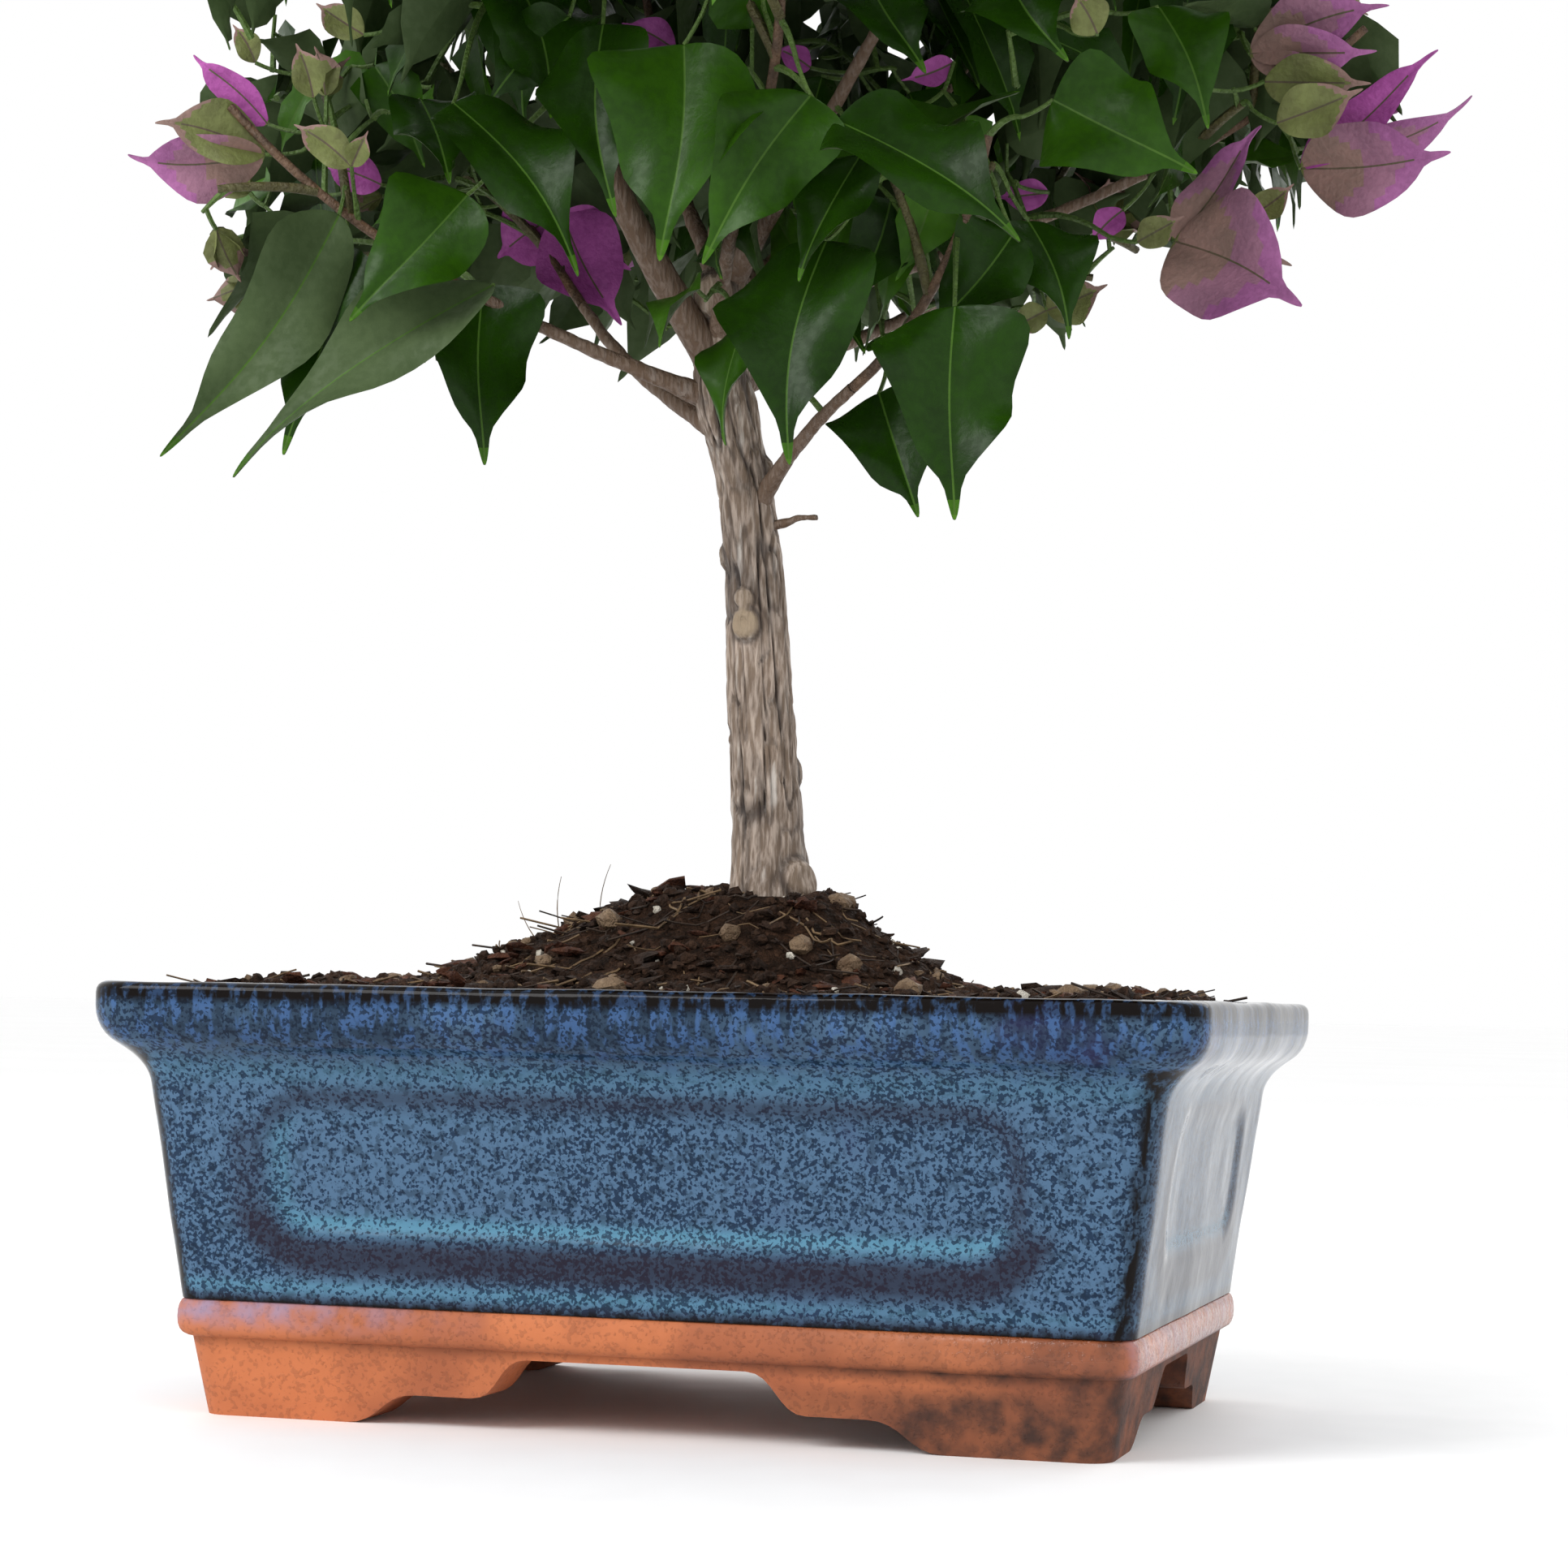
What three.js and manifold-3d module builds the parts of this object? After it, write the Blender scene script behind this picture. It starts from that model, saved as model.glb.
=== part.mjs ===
// A flowering bougainvillea bonsai in its glazed pot with cloud feet. Millimetres, +Z up.
// The sizes below count from the middle of the pot's base; the finished plant is set so that
// the origin lies in the middle of its own base.
import * as THREE from 'three';
import { mergeVertices } from 'three/addons/utils/BufferGeometryUtils.js';
import Module from 'manifold-3d';

const wasm = await Module();
wasm.setup();

// Clearance between parts that meet
const CLEAR = 0.3;

// Pot: insets count inwards from the outer edge of the rim
const POT_LENGTH = 200;
const POT_WIDTH = 140;
const POT_HEIGHT = 77;
const RIM_CORNER = 9;
const CORNER_SHRINK = 0.25;
const RIM_WIDTH = 11;
const RIM_ROUND = 2;
const LIP_HEIGHT = 4.2;
const LIP_PULL = 2.2;
const COVE_HEIGHT = 66;
const COVE_INSET = 3.2;
const COVE_RISE = 4;
const NECK_HEIGHT = 59;
const NECK_INSET = 8.1;
const GLAZE_LINE = 20.8;
const GLAZE_INSET = 13.4;
const WALL_THICKNESS = 7;
const FLOOR_THICKNESS = 6;
const CORNER_STEPS = 3;
const CURVE_STEPS = 2;

// Sunk panels in the four walls
const PANEL_END = 31;
const PANEL_BOTTOM = 31.5;
const PANEL_TOP = 58.5;
const PANEL_CORNER = 9;
const PANEL_DEPTH = 1.6;
const PANEL_CUTTER = 12;

// Unglazed foot: a rounded flange over four cloud feet
const FLANGE_INSET = 12.7;
const FLANGE_LIP = 0.8;
const FLANGE_BOTTOM = 14;
const FOOT_INSET = 17.6;
const FOOT_TOP_INSET = 15;
const FOOT_THICKNESS = 12;
const ARCH_HEIGHT = 12.6;
const STEP_HEIGHT = 5.4;
const FOOT_RUN = { full: 28, slope: 13.5, step: 10.5, curl: 10.5 };
const END_FOOT_SCALE = 0.66;

// Soil with the root ball's mound
const SOIL_EDGE = 74.4;
const SOIL_LEVEL = 78.3;
const MOUND_HEIGHT = 20;
const MOUND_SPREAD = { left: 68, right: 42, across: 44 };
const SOIL_BANDS = [0.94, 0.8, 0.66, 0.52, 0.38, 0.26];
const SEAT_RADIUS = 9.5;

// Trunk, cut flat at the ground
const GROUND = 95.4;
const TRUNK_LINE = [[6.3, 2.0, GROUND], [3.6, 1.2, 135], [0.4, 0.2, 170], [-4.2, -1.0, 193], [-4.4, -1.1, 216]];
const TRUNK_RADIUS = { bottom: 6.5, top: 5 };
const FLARE = { size: 1.5, height: 6 };
const FORK_SWELL = { size: 0.9, height: 189, spread: 7 };
const TRUNK_LOBES = [{ count: 2, size: 0.05, twist: 0.05 }, { count: 3, size: 0.03, twist: -0.08 }];
const TRUNK_RINGS = 16;
const TRUNK_SIDES = 12;
const SCAR = { height: 146.5, azimuth: -98, radius: 2.5, proud: 0.7, sides: 8 };
const DEAD_TWIG = { height: 165, azimuth: -8, length: 14, root: 1.05, tip: 0.6, rise: 0.12, sides: 5 };

// Crown: each row is a bough and the foliage mass that it carries. Azimuths are degrees from +X;
// out and height place the middle of the mass, fork is the height of the bough on the trunk.
const CROWN_AXIS = new THREE.Vector3(6.3, 2.0, 0);
const MASS_FIELDS = ['name', 'azimuth', 'out', 'height', 'reach', 'fork', 'rise', 'thick', 'bloom'];
const MASSES = [
  ['left', 203, 86, 219, 49, 189, 18, 2.5, 0.5],
  ['front', 282, 54, 240, 48, 200, 30, 2.5, 0.3],
  ['front_right', 325, 42, 205, 45, 166, 52, 2.6, 0.15],
  ['right', 12, 92, 242, 45, 205, 14, 2.3, 0.8],
  ['back_right', 62, 76, 230, 50, 192, 20, 2.6, 0.4],
  ['back', 112, 74, 238, 52, 201, 22, 2.6, 0.4],
  ['back_left', 156, 74, 230, 52, 183, 24, 2.6, 0.4],
  ['upper_left', 226, 66, 284, 53, 195, 48, 3.1, 0.4],
  ['upper_right', 322, 64, 288, 52, 211, 38, 2.4, 0.4],
  ['upper_back_right', 48, 66, 286, 53, 208, 40, 2.4, 0.4],
  ['upper_back_left', 138, 64, 288, 53, 212, 46, 2.4, 0.4],
  ['top', 200, 6, 318, 46, 212, 84, 2.6, 0.35],
].map((row) => Object.fromEntries(row.map((value, i) => [MASS_FIELDS[i], value])));
const BOUGH_ENTRY = 0.55;
const BOUGH_TAPER = 0.62;
const BOUGH_BEND = 0.5;
const BOUGH_COLLAR = { size: 0.3, fade: 8 };
const BOUGH_SEGMENTS = 6;
const BOUGH_SIDES = 6;
const LIMB_SAMPLES = 14;

// Growth rule of the masses
const SEED = 20411;
const SEED_STEP = 977;
const GOLDEN = THREE.MathUtils.degToRad(137.5);
const STEM = { sag: 0.5, beyond: 0.42, lift: 0.3, tip: 1, bare: 0.3, segments: 3, sides: 4 };
const TWIG = { count: 7, first: 0.18, spread: 52, lift: 0.16, arch: 0.1, least: 12 };
const TWIG_BODY = { root: 1.05, tip: 0.8, segments: 2, sides: 3 };
const TWIG_LENGTH = { share: 0.5, play: 0.3 };
const TWIG_CUTS = [1, 0.8, 0.62, 0.45];
const TWIG_PROBES = [0.3, 0.5, 0.75, 1];
const TWIG_MARGIN = 5;
const LEAF = { length: 30, play: 12, width: 0.58, stalk: 5, stalkPlay: 4, spacing: 6.5, first: 5, sunk: 2 };
const STALK_TURN = { side: 0.8, ahead: 0.5 };
const LEAF_TURN = { side: 0.62, outward: 0.42, droop: 0.4, droopPlay: 0.7 };
const LEAF_FACE = { outward: 0.7, up: 0.8, side: 0.2 };
const LEAF_TRIES = { count: 15, shrink: 0.03, lift: 0.35 };
const LEAF_BODY = { widest: 0.36, rib: 0.45, fold: 0.07, curl: 0.1, root: 0.3, thick: 1 };
const BLADE_ROWS = 6;
const BLADE_COLUMNS = 5;
const BLADE_SWELL = 0.75;
const BLADE_MIDDLE = (BLADE_ROWS / 2) * BLADE_COLUMNS + (BLADE_COLUMNS - 1) / 2;
const BRACT = { length: 19, play: 7, width: 0.7, forward: 0.7, side: 0.7, stalk: 5, stalkPlay: 4, sunk: 0.9 };
const BRACT_PLACES = [1, 0.9, 0.78, 0.66, 0.54, 0.42];
const BRACT_LEAN = 3;
const BRACT_BEYOND = 8;
const CELL_GAP = 0.4;
const LIMB_GAP = 1.2;
const LEAF_GAP = 4;
const TWIG_GAP = 3;
const ROOT_ROOM = 8;

// Colours
const BLUE_GLAZE = 0x2f4668;
const FIRED_CLAY = 0xa8643c;
const POTTING_SOIL = 0x3b2c22;
const BARK = 0x7a6f64;
const FOLIAGE = 0x3f5a2c;

const UP = new THREE.Vector3(0, 0, 1);
const part = new THREE.Group();
part.name = 'bougainvillea_bonsai';

// Solids from rings of points, and their joining and cutting

function skin(rings) {
  const size = rings[0].length;
  const positions = rings.flat().flatMap((point) => point.toArray());
  const index = [];
  for (let row = 0; row + 1 < rings.length; row += 1) {
    for (let i = 0; i < size; i += 1) {
      const a = row * size + i;
      const b = row * size + ((i + 1) % size);
      index.push(a, b, b + size, a, b + size, a + size);
    }
  }
  const last = (rings.length - 1) * size;
  for (let i = 1; i + 1 < size; i += 1) {
    index.push(0, i + 1, i, last, last + i, last + i + 1);
  }
  const geometry = new THREE.BufferGeometry();
  geometry.setAttribute('position', new THREE.Float32BufferAttribute(positions, 3));
  geometry.setIndex(index);
  return geometry;
}

function solid(source) {
  const geometry = source.clone();
  geometry.deleteAttribute('normal');
  geometry.deleteAttribute('uv');
  const merged = mergeVertices(geometry, 1e-4);
  const mesh = new wasm.Mesh({
    numProp: 3,
    vertProperties: new Float32Array(merged.attributes.position.array),
    triVerts: new Uint32Array(merged.index.array),
  });
  return new wasm.Manifold(mesh);
}

function largest(body) {
  return new wasm.Manifold(body.getMesh()).decompose().reduce((best, piece) => (piece.volume() > best.volume() ? piece : best));
}

function addPart(name, body, colour, roughness) {
  const mesh = body.getMesh();
  const geometry = new THREE.BufferGeometry();
  geometry.setAttribute('position', new THREE.Float32BufferAttribute(mesh.vertProperties, 3));
  geometry.setIndex(new THREE.Uint32BufferAttribute(mesh.triVerts, 1));
  geometry.computeVertexNormals();
  const material = new THREE.MeshStandardMaterial({ color: colour, roughness, metalness: 0 });
  const piece = new THREE.Mesh(geometry, material);
  piece.name = name;
  part.add(piece);
}

function across(axis) {
  const side = new THREE.Vector3().crossVectors(axis, UP);
  if (side.length() < 0.05) side.set(1, 0, 0).addScaledVector(axis, -axis.x);
  side.normalize();
  return [side, new THREE.Vector3().crossVectors(axis, side).normalize()];
}

function around(axis, angle) {
  const [side, other] = across(axis);
  return side.multiplyScalar(Math.cos(angle)).addScaledVector(other, Math.sin(angle));
}

function tube(curve, radiusAt, segments, sides) {
  const rings = [];
  for (let row = 0; row <= segments; row += 1) {
    const t = row / segments;
    const centre = curve.getPoint(t);
    const axis = curve.getTangent(t);
    const ring = [];
    for (let i = 0; i < sides; i += 1) {
      ring.push(around(axis, (i / sides) * 2 * Math.PI).multiplyScalar(radiusAt(t)).add(centre));
    }
    rings.push(ring);
  }
  return skin(rings);
}

// Pot

function boxRing(z, inset, corner) {
  const x = POT_LENGTH / 2 - inset - corner;
  const y = POT_WIDTH / 2 - inset - corner;
  const corners = [[x, y], [-x, y], [-x, -y], [x, -y]];
  return corners.flatMap(([cx, cy], quarter) => Array.from({ length: CORNER_STEPS + 1 }, (_, step) => {
    const angle = (quarter + step / CORNER_STEPS) * (Math.PI / 2);
    return new THREE.Vector3(cx + corner * Math.cos(angle), cy + corner * Math.sin(angle), z);
  }));
}

function cornerAt(inset) {
  return RIM_CORNER - inset * CORNER_SHRINK;
}

function loft(profile) {
  return skin(profile.getPoints(CURVE_STEPS).map((point) => boxRing(point.y, point.x, cornerAt(point.x))));
}

function wallInset(z) {
  return THREE.MathUtils.mapLinear(z, GLAZE_LINE, NECK_HEIGHT, GLAZE_INSET, NECK_INSET);
}

function panelCutter(halfLength, halfSpan, turn) {
  const tilt = Math.atan2(GLAZE_INSET - NECK_INSET, NECK_HEIGHT - GLAZE_LINE);
  const halfHeight = (PANEL_TOP - PANEL_BOTTOM) / 2;
  const middle = (PANEL_TOP + PANEL_BOTTOM) / 2;
  const outline = new THREE.Shape();
  outline.moveTo(-halfLength + PANEL_CORNER, -halfHeight);
  outline.lineTo(halfLength - PANEL_CORNER, -halfHeight);
  outline.quadraticCurveTo(halfLength, -halfHeight, halfLength, -halfHeight + PANEL_CORNER);
  outline.lineTo(halfLength, halfHeight - PANEL_CORNER);
  outline.quadraticCurveTo(halfLength, halfHeight, halfLength - PANEL_CORNER, halfHeight);
  outline.lineTo(-halfLength + PANEL_CORNER, halfHeight);
  outline.quadraticCurveTo(-halfLength, halfHeight, -halfLength, halfHeight - PANEL_CORNER);
  outline.lineTo(-halfLength, -halfHeight + PANEL_CORNER);
  outline.quadraticCurveTo(-halfLength, -halfHeight, -halfLength + PANEL_CORNER, -halfHeight);
  const geometry = new THREE.ExtrudeGeometry(outline, {
    depth: PANEL_CUTTER, bevelEnabled: false, curveSegments: CORNER_STEPS,
  });
  geometry.rotateX(Math.PI / 2 + tilt);
  geometry.translate(0, -(halfSpan - wallInset(middle) - PANEL_DEPTH), middle);
  geometry.rotateZ(turn);
  return solid(geometry);
}

function makePot() {
  const profile = new THREE.Path();
  profile.moveTo(GLAZE_INSET, GLAZE_LINE);
  profile.lineTo(NECK_INSET, NECK_HEIGHT);
  const coveTop = NECK_HEIGHT + COVE_RISE;
  profile.quadraticCurveTo(wallInset(coveTop), coveTop, COVE_INSET, COVE_HEIGHT);
  profile.quadraticCurveTo(0, COVE_HEIGHT + LIP_PULL, 0, POT_HEIGHT - LIP_HEIGHT);
  profile.lineTo(0, POT_HEIGHT - RIM_ROUND);
  profile.quadraticCurveTo(0, POT_HEIGHT, RIM_ROUND, POT_HEIGHT);
  profile.lineTo(RIM_WIDTH - RIM_ROUND, POT_HEIGHT);
  profile.quadraticCurveTo(RIM_WIDTH, POT_HEIGHT, RIM_WIDTH, POT_HEIGHT - RIM_ROUND);
  profile.lineTo(NECK_INSET + WALL_THICKNESS, NECK_HEIGHT);
  profile.lineTo(GLAZE_INSET + WALL_THICKNESS, GLAZE_LINE + FLOOR_THICKNESS);
  let body = solid(loft(profile));
  for (let wall = 0; wall < 4; wall += 1) {
    const alongEnd = wall % 2 === 1;
    const halfLength = (alongEnd ? POT_WIDTH : POT_LENGTH) / 2 - PANEL_END;
    const halfSpan = (alongEnd ? POT_LENGTH : POT_WIDTH) / 2;
    body = body.subtract(panelCutter(halfLength, halfSpan, wall * (Math.PI / 2)));
  }
  addPart('pot', body, BLUE_GLAZE, 0.15);
}

// Foot of the pot

function archCutter(halfSide, scale, turn) {
  const full = halfSide - FOOT_RUN.full * scale;
  const slope = full - FOOT_RUN.slope * scale;
  const step = slope - FOOT_RUN.step * scale;
  const curl = step - FOOT_RUN.curl * scale;
  const outline = new THREE.Shape();
  outline.moveTo(-full, -CLEAR);
  outline.lineTo(full, -CLEAR);
  outline.bezierCurveTo((full + slope) / 2, 0, (full + slope) / 2, STEP_HEIGHT, slope, STEP_HEIGHT);
  outline.lineTo(step, STEP_HEIGHT);
  outline.bezierCurveTo((step + curl) / 2, STEP_HEIGHT, (step + curl) / 2, ARCH_HEIGHT, curl, ARCH_HEIGHT);
  outline.lineTo(-curl, ARCH_HEIGHT);
  outline.bezierCurveTo(-(step + curl) / 2, ARCH_HEIGHT, -(step + curl) / 2, STEP_HEIGHT, -step, STEP_HEIGHT);
  outline.lineTo(-slope, STEP_HEIGHT);
  outline.bezierCurveTo(-(full + slope) / 2, STEP_HEIGHT, -(full + slope) / 2, 0, -full, -CLEAR);
  const geometry = new THREE.ExtrudeGeometry(outline, {
    depth: POT_LENGTH, bevelEnabled: false, curveSegments: 2 * CURVE_STEPS,
  });
  geometry.translate(0, 0, -POT_LENGTH / 2);
  geometry.rotateX(Math.PI / 2);
  geometry.rotateZ(turn);
  return solid(geometry);
}

function makeFoot() {
  const profile = new THREE.Path();
  profile.moveTo(FOOT_TOP_INSET + FOOT_THICKNESS, FLANGE_BOTTOM);
  profile.lineTo(FOOT_INSET + FOOT_THICKNESS, 0);
  profile.lineTo(FOOT_INSET, 0);
  profile.lineTo(FOOT_TOP_INSET, FLANGE_BOTTOM);
  profile.quadraticCurveTo(FLANGE_INSET, FLANGE_BOTTOM, FLANGE_INSET, (FLANGE_BOTTOM + GLAZE_LINE) / 2);
  profile.quadraticCurveTo(FLANGE_INSET, GLAZE_LINE, GLAZE_INSET + FLANGE_LIP, GLAZE_LINE);
  const body = solid(loft(profile))
    .subtract(archCutter(POT_LENGTH / 2 - FOOT_INSET, 1, 0))
    .subtract(archCutter(POT_WIDTH / 2 - FOOT_INSET, END_FOOT_SCALE, Math.PI / 2));
  addPart('pot_foot', body, FIRED_CLAY, 0.75);
}

// Soil

function soilHeight(x, y) {
  const dx = x - TRUNK_LINE[0][0];
  const dy = y - TRUNK_LINE[0][1];
  const along = dx / (dx < 0 ? MOUND_SPREAD.left : MOUND_SPREAD.right);
  const q = Math.min(1, Math.hypot(along, dy / MOUND_SPREAD.across));
  const mound = MOUND_HEIGHT * Math.cos(q * (Math.PI / 2)) ** 2;
  return Math.min(SOIL_LEVEL + mound, GROUND - CLEAR);
}

function makeSoil() {
  const floorInset = GLAZE_INSET + WALL_THICKNESS + CLEAR;
  const neckInset = NECK_INSET + WALL_THICKNESS + CLEAR;
  const edgeInset = RIM_WIDTH + 2 * CLEAR;
  const rings = [
    boxRing(GLAZE_LINE + FLOOR_THICKNESS + CLEAR, floorInset, cornerAt(floorInset)),
    boxRing(NECK_HEIGHT, neckInset, cornerAt(neckInset)),
    boxRing(SOIL_EDGE, edgeInset, cornerAt(edgeInset)),
  ];
  const edge = rings.at(-1);
  const middle = new THREE.Vector3(...TRUNK_LINE[0]);
  SOIL_BANDS.forEach((share) => {
    rings.push(edge.map((point) => {
      const spot = new THREE.Vector3().lerpVectors(middle, point, share);
      return spot.setZ(soilHeight(spot.x, spot.y));
    }));
  });
  rings.push(edge.map((point) => {
    const out = point.clone().sub(middle).setZ(0).setLength(SEAT_RADIUS);
    return out.add(middle).setZ(GROUND - CLEAR);
  }));
  addPart('soil', solid(skin(rings)), POTTING_SOIL, 0.95);
}

// Trunk

const trunkCurve = new THREE.CatmullRomCurve3(TRUNK_LINE.map((point) => new THREE.Vector3(...point)));

function trunkAt(z) {
  let low = 0;
  let high = 1;
  for (let i = 0; i < 40; i += 1) {
    const t = (low + high) / 2;
    if (trunkCurve.getPoint(t).z < z) low = t;
    else high = t;
  }
  return trunkCurve.getPoint(low).setZ(z);
}

function trunkRadius(z) {
  const top = TRUNK_LINE.at(-1)[2];
  const taper = THREE.MathUtils.mapLinear(z, GROUND, top, TRUNK_RADIUS.bottom, TRUNK_RADIUS.top);
  const flare = FLARE.size * Math.exp(-(z - GROUND) / FLARE.height);
  const swell = FORK_SWELL.size * Math.exp(-(((z - FORK_SWELL.height) / FORK_SWELL.spread) ** 2));
  return taper + flare + swell;
}

function trunkSkin(grow) {
  const top = TRUNK_LINE.at(-1)[2];
  const rings = [];
  for (let row = 0; row <= TRUNK_RINGS; row += 1) {
    const z = THREE.MathUtils.lerp(GROUND, top, row / TRUNK_RINGS);
    const centre = trunkAt(z);
    const reach = row === 0 ? -grow : row === TRUNK_RINGS ? grow : 0;
    rings.push(Array.from({ length: TRUNK_SIDES }, (_, i) => {
      const angle = (i / TRUNK_SIDES) * 2 * Math.PI;
      const waves = TRUNK_LOBES.map(({ count, size, twist }) => size * Math.cos(count * angle + twist * z));
      const uneven = waves.reduce((sum, wave) => sum + wave, 1);
      const radius = trunkRadius(z) * uneven + grow;
      return new THREE.Vector3(Math.cos(angle) * radius, Math.sin(angle) * radius, reach).add(centre);
    }));
  }
  return solid(skin(rings));
}

function compass(degrees, rise) {
  const turn = THREE.MathUtils.degToRad(degrees);
  const lift = THREE.MathUtils.degToRad(rise);
  return new THREE.Vector3(Math.cos(turn) * Math.cos(lift), Math.sin(turn) * Math.cos(lift), Math.sin(lift));
}

function makeTrunk() {
  const scarOut = compass(SCAR.azimuth, 0);
  const scarRoot = trunkAt(SCAR.height);
  const scarTip = scarRoot.clone().addScaledVector(scarOut, trunkRadius(SCAR.height) + SCAR.proud);
  const scar = tube(new THREE.LineCurve3(scarRoot, scarTip), () => SCAR.radius, 1, SCAR.sides);
  const twigRoot = trunkAt(DEAD_TWIG.height);
  const twigOut = compass(DEAD_TWIG.azimuth, 0).setZ(DEAD_TWIG.rise);
  const twigTip = twigRoot.clone().addScaledVector(twigOut, DEAD_TWIG.length);
  const twigRadius = (t) => THREE.MathUtils.lerp(DEAD_TWIG.root, DEAD_TWIG.tip, t);
  const twig = tube(new THREE.LineCurve3(twigRoot, twigTip), twigRadius, 2, DEAD_TWIG.sides);
  addPart('trunk', trunkSkin(0).add(solid(scar)).add(solid(twig)), BARK, 0.9);
}

// Boughs

function massCentre(mass) {
  return compass(mass.azimuth, 0).multiplyScalar(mass.out).add(CROWN_AXIS).setZ(mass.height);
}

function boughCurve(mass) {
  const root = trunkAt(mass.fork);
  const centre = massCentre(mass);
  const span = centre.distanceTo(root);
  const tip = new THREE.Vector3().lerpVectors(root, centre, 1 - (BOUGH_ENTRY * mass.reach) / span);
  const bend = compass(mass.azimuth, mass.rise).multiplyScalar(BOUGH_BEND * tip.distanceTo(root)).add(root);
  return new THREE.QuadraticBezierCurve3(root, bend, tip);
}

function boughRadius(mass, t) {
  const collar = 1 + BOUGH_COLLAR.size * Math.exp(-BOUGH_COLLAR.fade * t);
  return mass.thick * collar * (1 - (1 - BOUGH_TAPER) * t);
}

function makeBoughs() {
  let taken = trunkSkin(CLEAR);
  MASSES.forEach((mass) => {
    const curve = boughCurve(mass);
    const limb = solid(tube(curve, (t) => boughRadius(mass, t), BOUGH_SEGMENTS, BOUGH_SIDES));
    const shell = solid(tube(curve, (t) => boughRadius(mass, t) + CLEAR, BOUGH_SEGMENTS, BOUGH_SIDES));
    addPart(`bough_${mass.name}`, largest(limb.subtract(taken)), BARK, 0.88);
    taken = taken.add(shell);
  });
}

// Space of each mass, and what it has to stay clear of

const centres = MASSES.map(massCentre);

function insideSpace(point, own, margin) {
  const mass = MASSES[own];
  const near = point.distanceToSquared(centres[own]);
  if (near > (mass.reach - margin) ** 2) return false;
  return MASSES.every((other, i) => {
    if (i === own) return true;
    const power = point.distanceToSquared(centres[i]) - other.reach ** 2 - near + mass.reach ** 2;
    return power / (2 * centres[own].distanceTo(centres[i])) >= CELL_GAP;
  });
}

const limbSamples = [];
for (let i = 0; i <= 2 * LIMB_SAMPLES; i += 1) {
  const z = THREE.MathUtils.lerp(GROUND, TRUNK_LINE.at(-1)[2], i / (2 * LIMB_SAMPLES));
  limbSamples.push({ centre: trunkAt(z), radius: trunkRadius(z) });
}
MASSES.forEach((mass) => {
  const curve = boughCurve(mass);
  for (let i = 0; i <= LIMB_SAMPLES; i += 1) {
    const t = i / LIMB_SAMPLES;
    limbSamples.push({ centre: curve.getPoint(t), radius: boughRadius(mass, t) });
  }
});

function clearOfLimbs(point, gap) {
  return limbSamples.every(({ centre, radius }) => point.distanceTo(centre) > radius + gap);
}

// Leaves and bracts

function bladeSpots(blade) {
  const spots = [];
  for (let row = 0; row <= BLADE_ROWS; row += 1) {
    const along = row / BLADE_ROWS;
    const width = blade.width * Math.sin(Math.PI * along ** BLADE_SWELL);
    for (let column = 0; column < BLADE_COLUMNS; column += 1) {
      spots.push(blade.base.clone()
        .addScaledVector(blade.axis, along * blade.length)
        .addScaledVector(blade.side, width * (column / (BLADE_COLUMNS - 1) - 0.5))
        .addScaledVector(blade.face, -LEAF_BODY.curl * blade.length * along ** 2));
    }
  }
  return spots;
}

function makeBlade(root, base, axis, facing, length, width) {
  const face = facing.clone().addScaledVector(axis, -facing.dot(axis)).normalize();
  const side = new THREE.Vector3().crossVectors(axis, face);
  return { root, base, axis, face, side, length, width };
}

function bladeSolid(blade) {
  const spot = (from, along, sideways, lift) => from.clone()
    .addScaledVector(blade.axis, along)
    .addScaledVector(blade.side, sideways)
    .addScaledVector(blade.face, lift);
  const half = blade.width / 2;
  const widest = LEAF_BODY.widest * blade.length;
  const rib = LEAF_BODY.rib * blade.length;
  const fold = LEAF_BODY.fold * blade.width;
  const points = [
    spot(blade.root, 0, 0, LEAF_BODY.root),
    spot(blade.root, 0, 0, -LEAF_BODY.root),
    spot(blade.base, widest, -half, fold),
    spot(blade.base, widest, half, fold),
    spot(blade.base, blade.length, 0, -LEAF_BODY.curl * blade.length),
    spot(blade.base, rib, 0, LEAF_BODY.thick / 2),
    spot(blade.base, rib, 0, -LEAF_BODY.thick / 2),
  ];
  const index = [0, 3, 5, 3, 4, 5, 4, 2, 5, 2, 0, 5, 1, 6, 3, 3, 6, 4, 4, 6, 2, 2, 6, 1, 0, 1, 3, 0, 2, 1];
  const geometry = new THREE.BufferGeometry();
  geometry.setAttribute('position', new THREE.Float32BufferAttribute(points.flatMap((p) => p.toArray()), 3));
  geometry.setIndex(index);
  return solid(geometry);
}

function bladeFits(blade, own, grown) {
  const spots = bladeSpots(blade);
  if (!spots.every((spot) => insideSpace(spot, own, 0) && clearOfLimbs(spot, LIMB_GAP))) return false;
  const twigs = grown.twigs.filter((spot) => spot.distanceTo(blade.root) > ROOT_ROOM);
  const middle = spots[BLADE_MIDDLE];
  const near = grown.blades.filter((other) => other.middle.distanceTo(middle) < LEAF.length + LEAF.play);
  const touches = spots.some((spot) => twigs.some((twig) => twig.distanceTo(spot) < TWIG_GAP)
    || near.some((other) => other.spots.some((place) => place.distanceTo(spot) < LEAF_GAP)));
  if (touches) return false;
  grown.blades.push({ middle, spots });
  return true;
}

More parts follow.
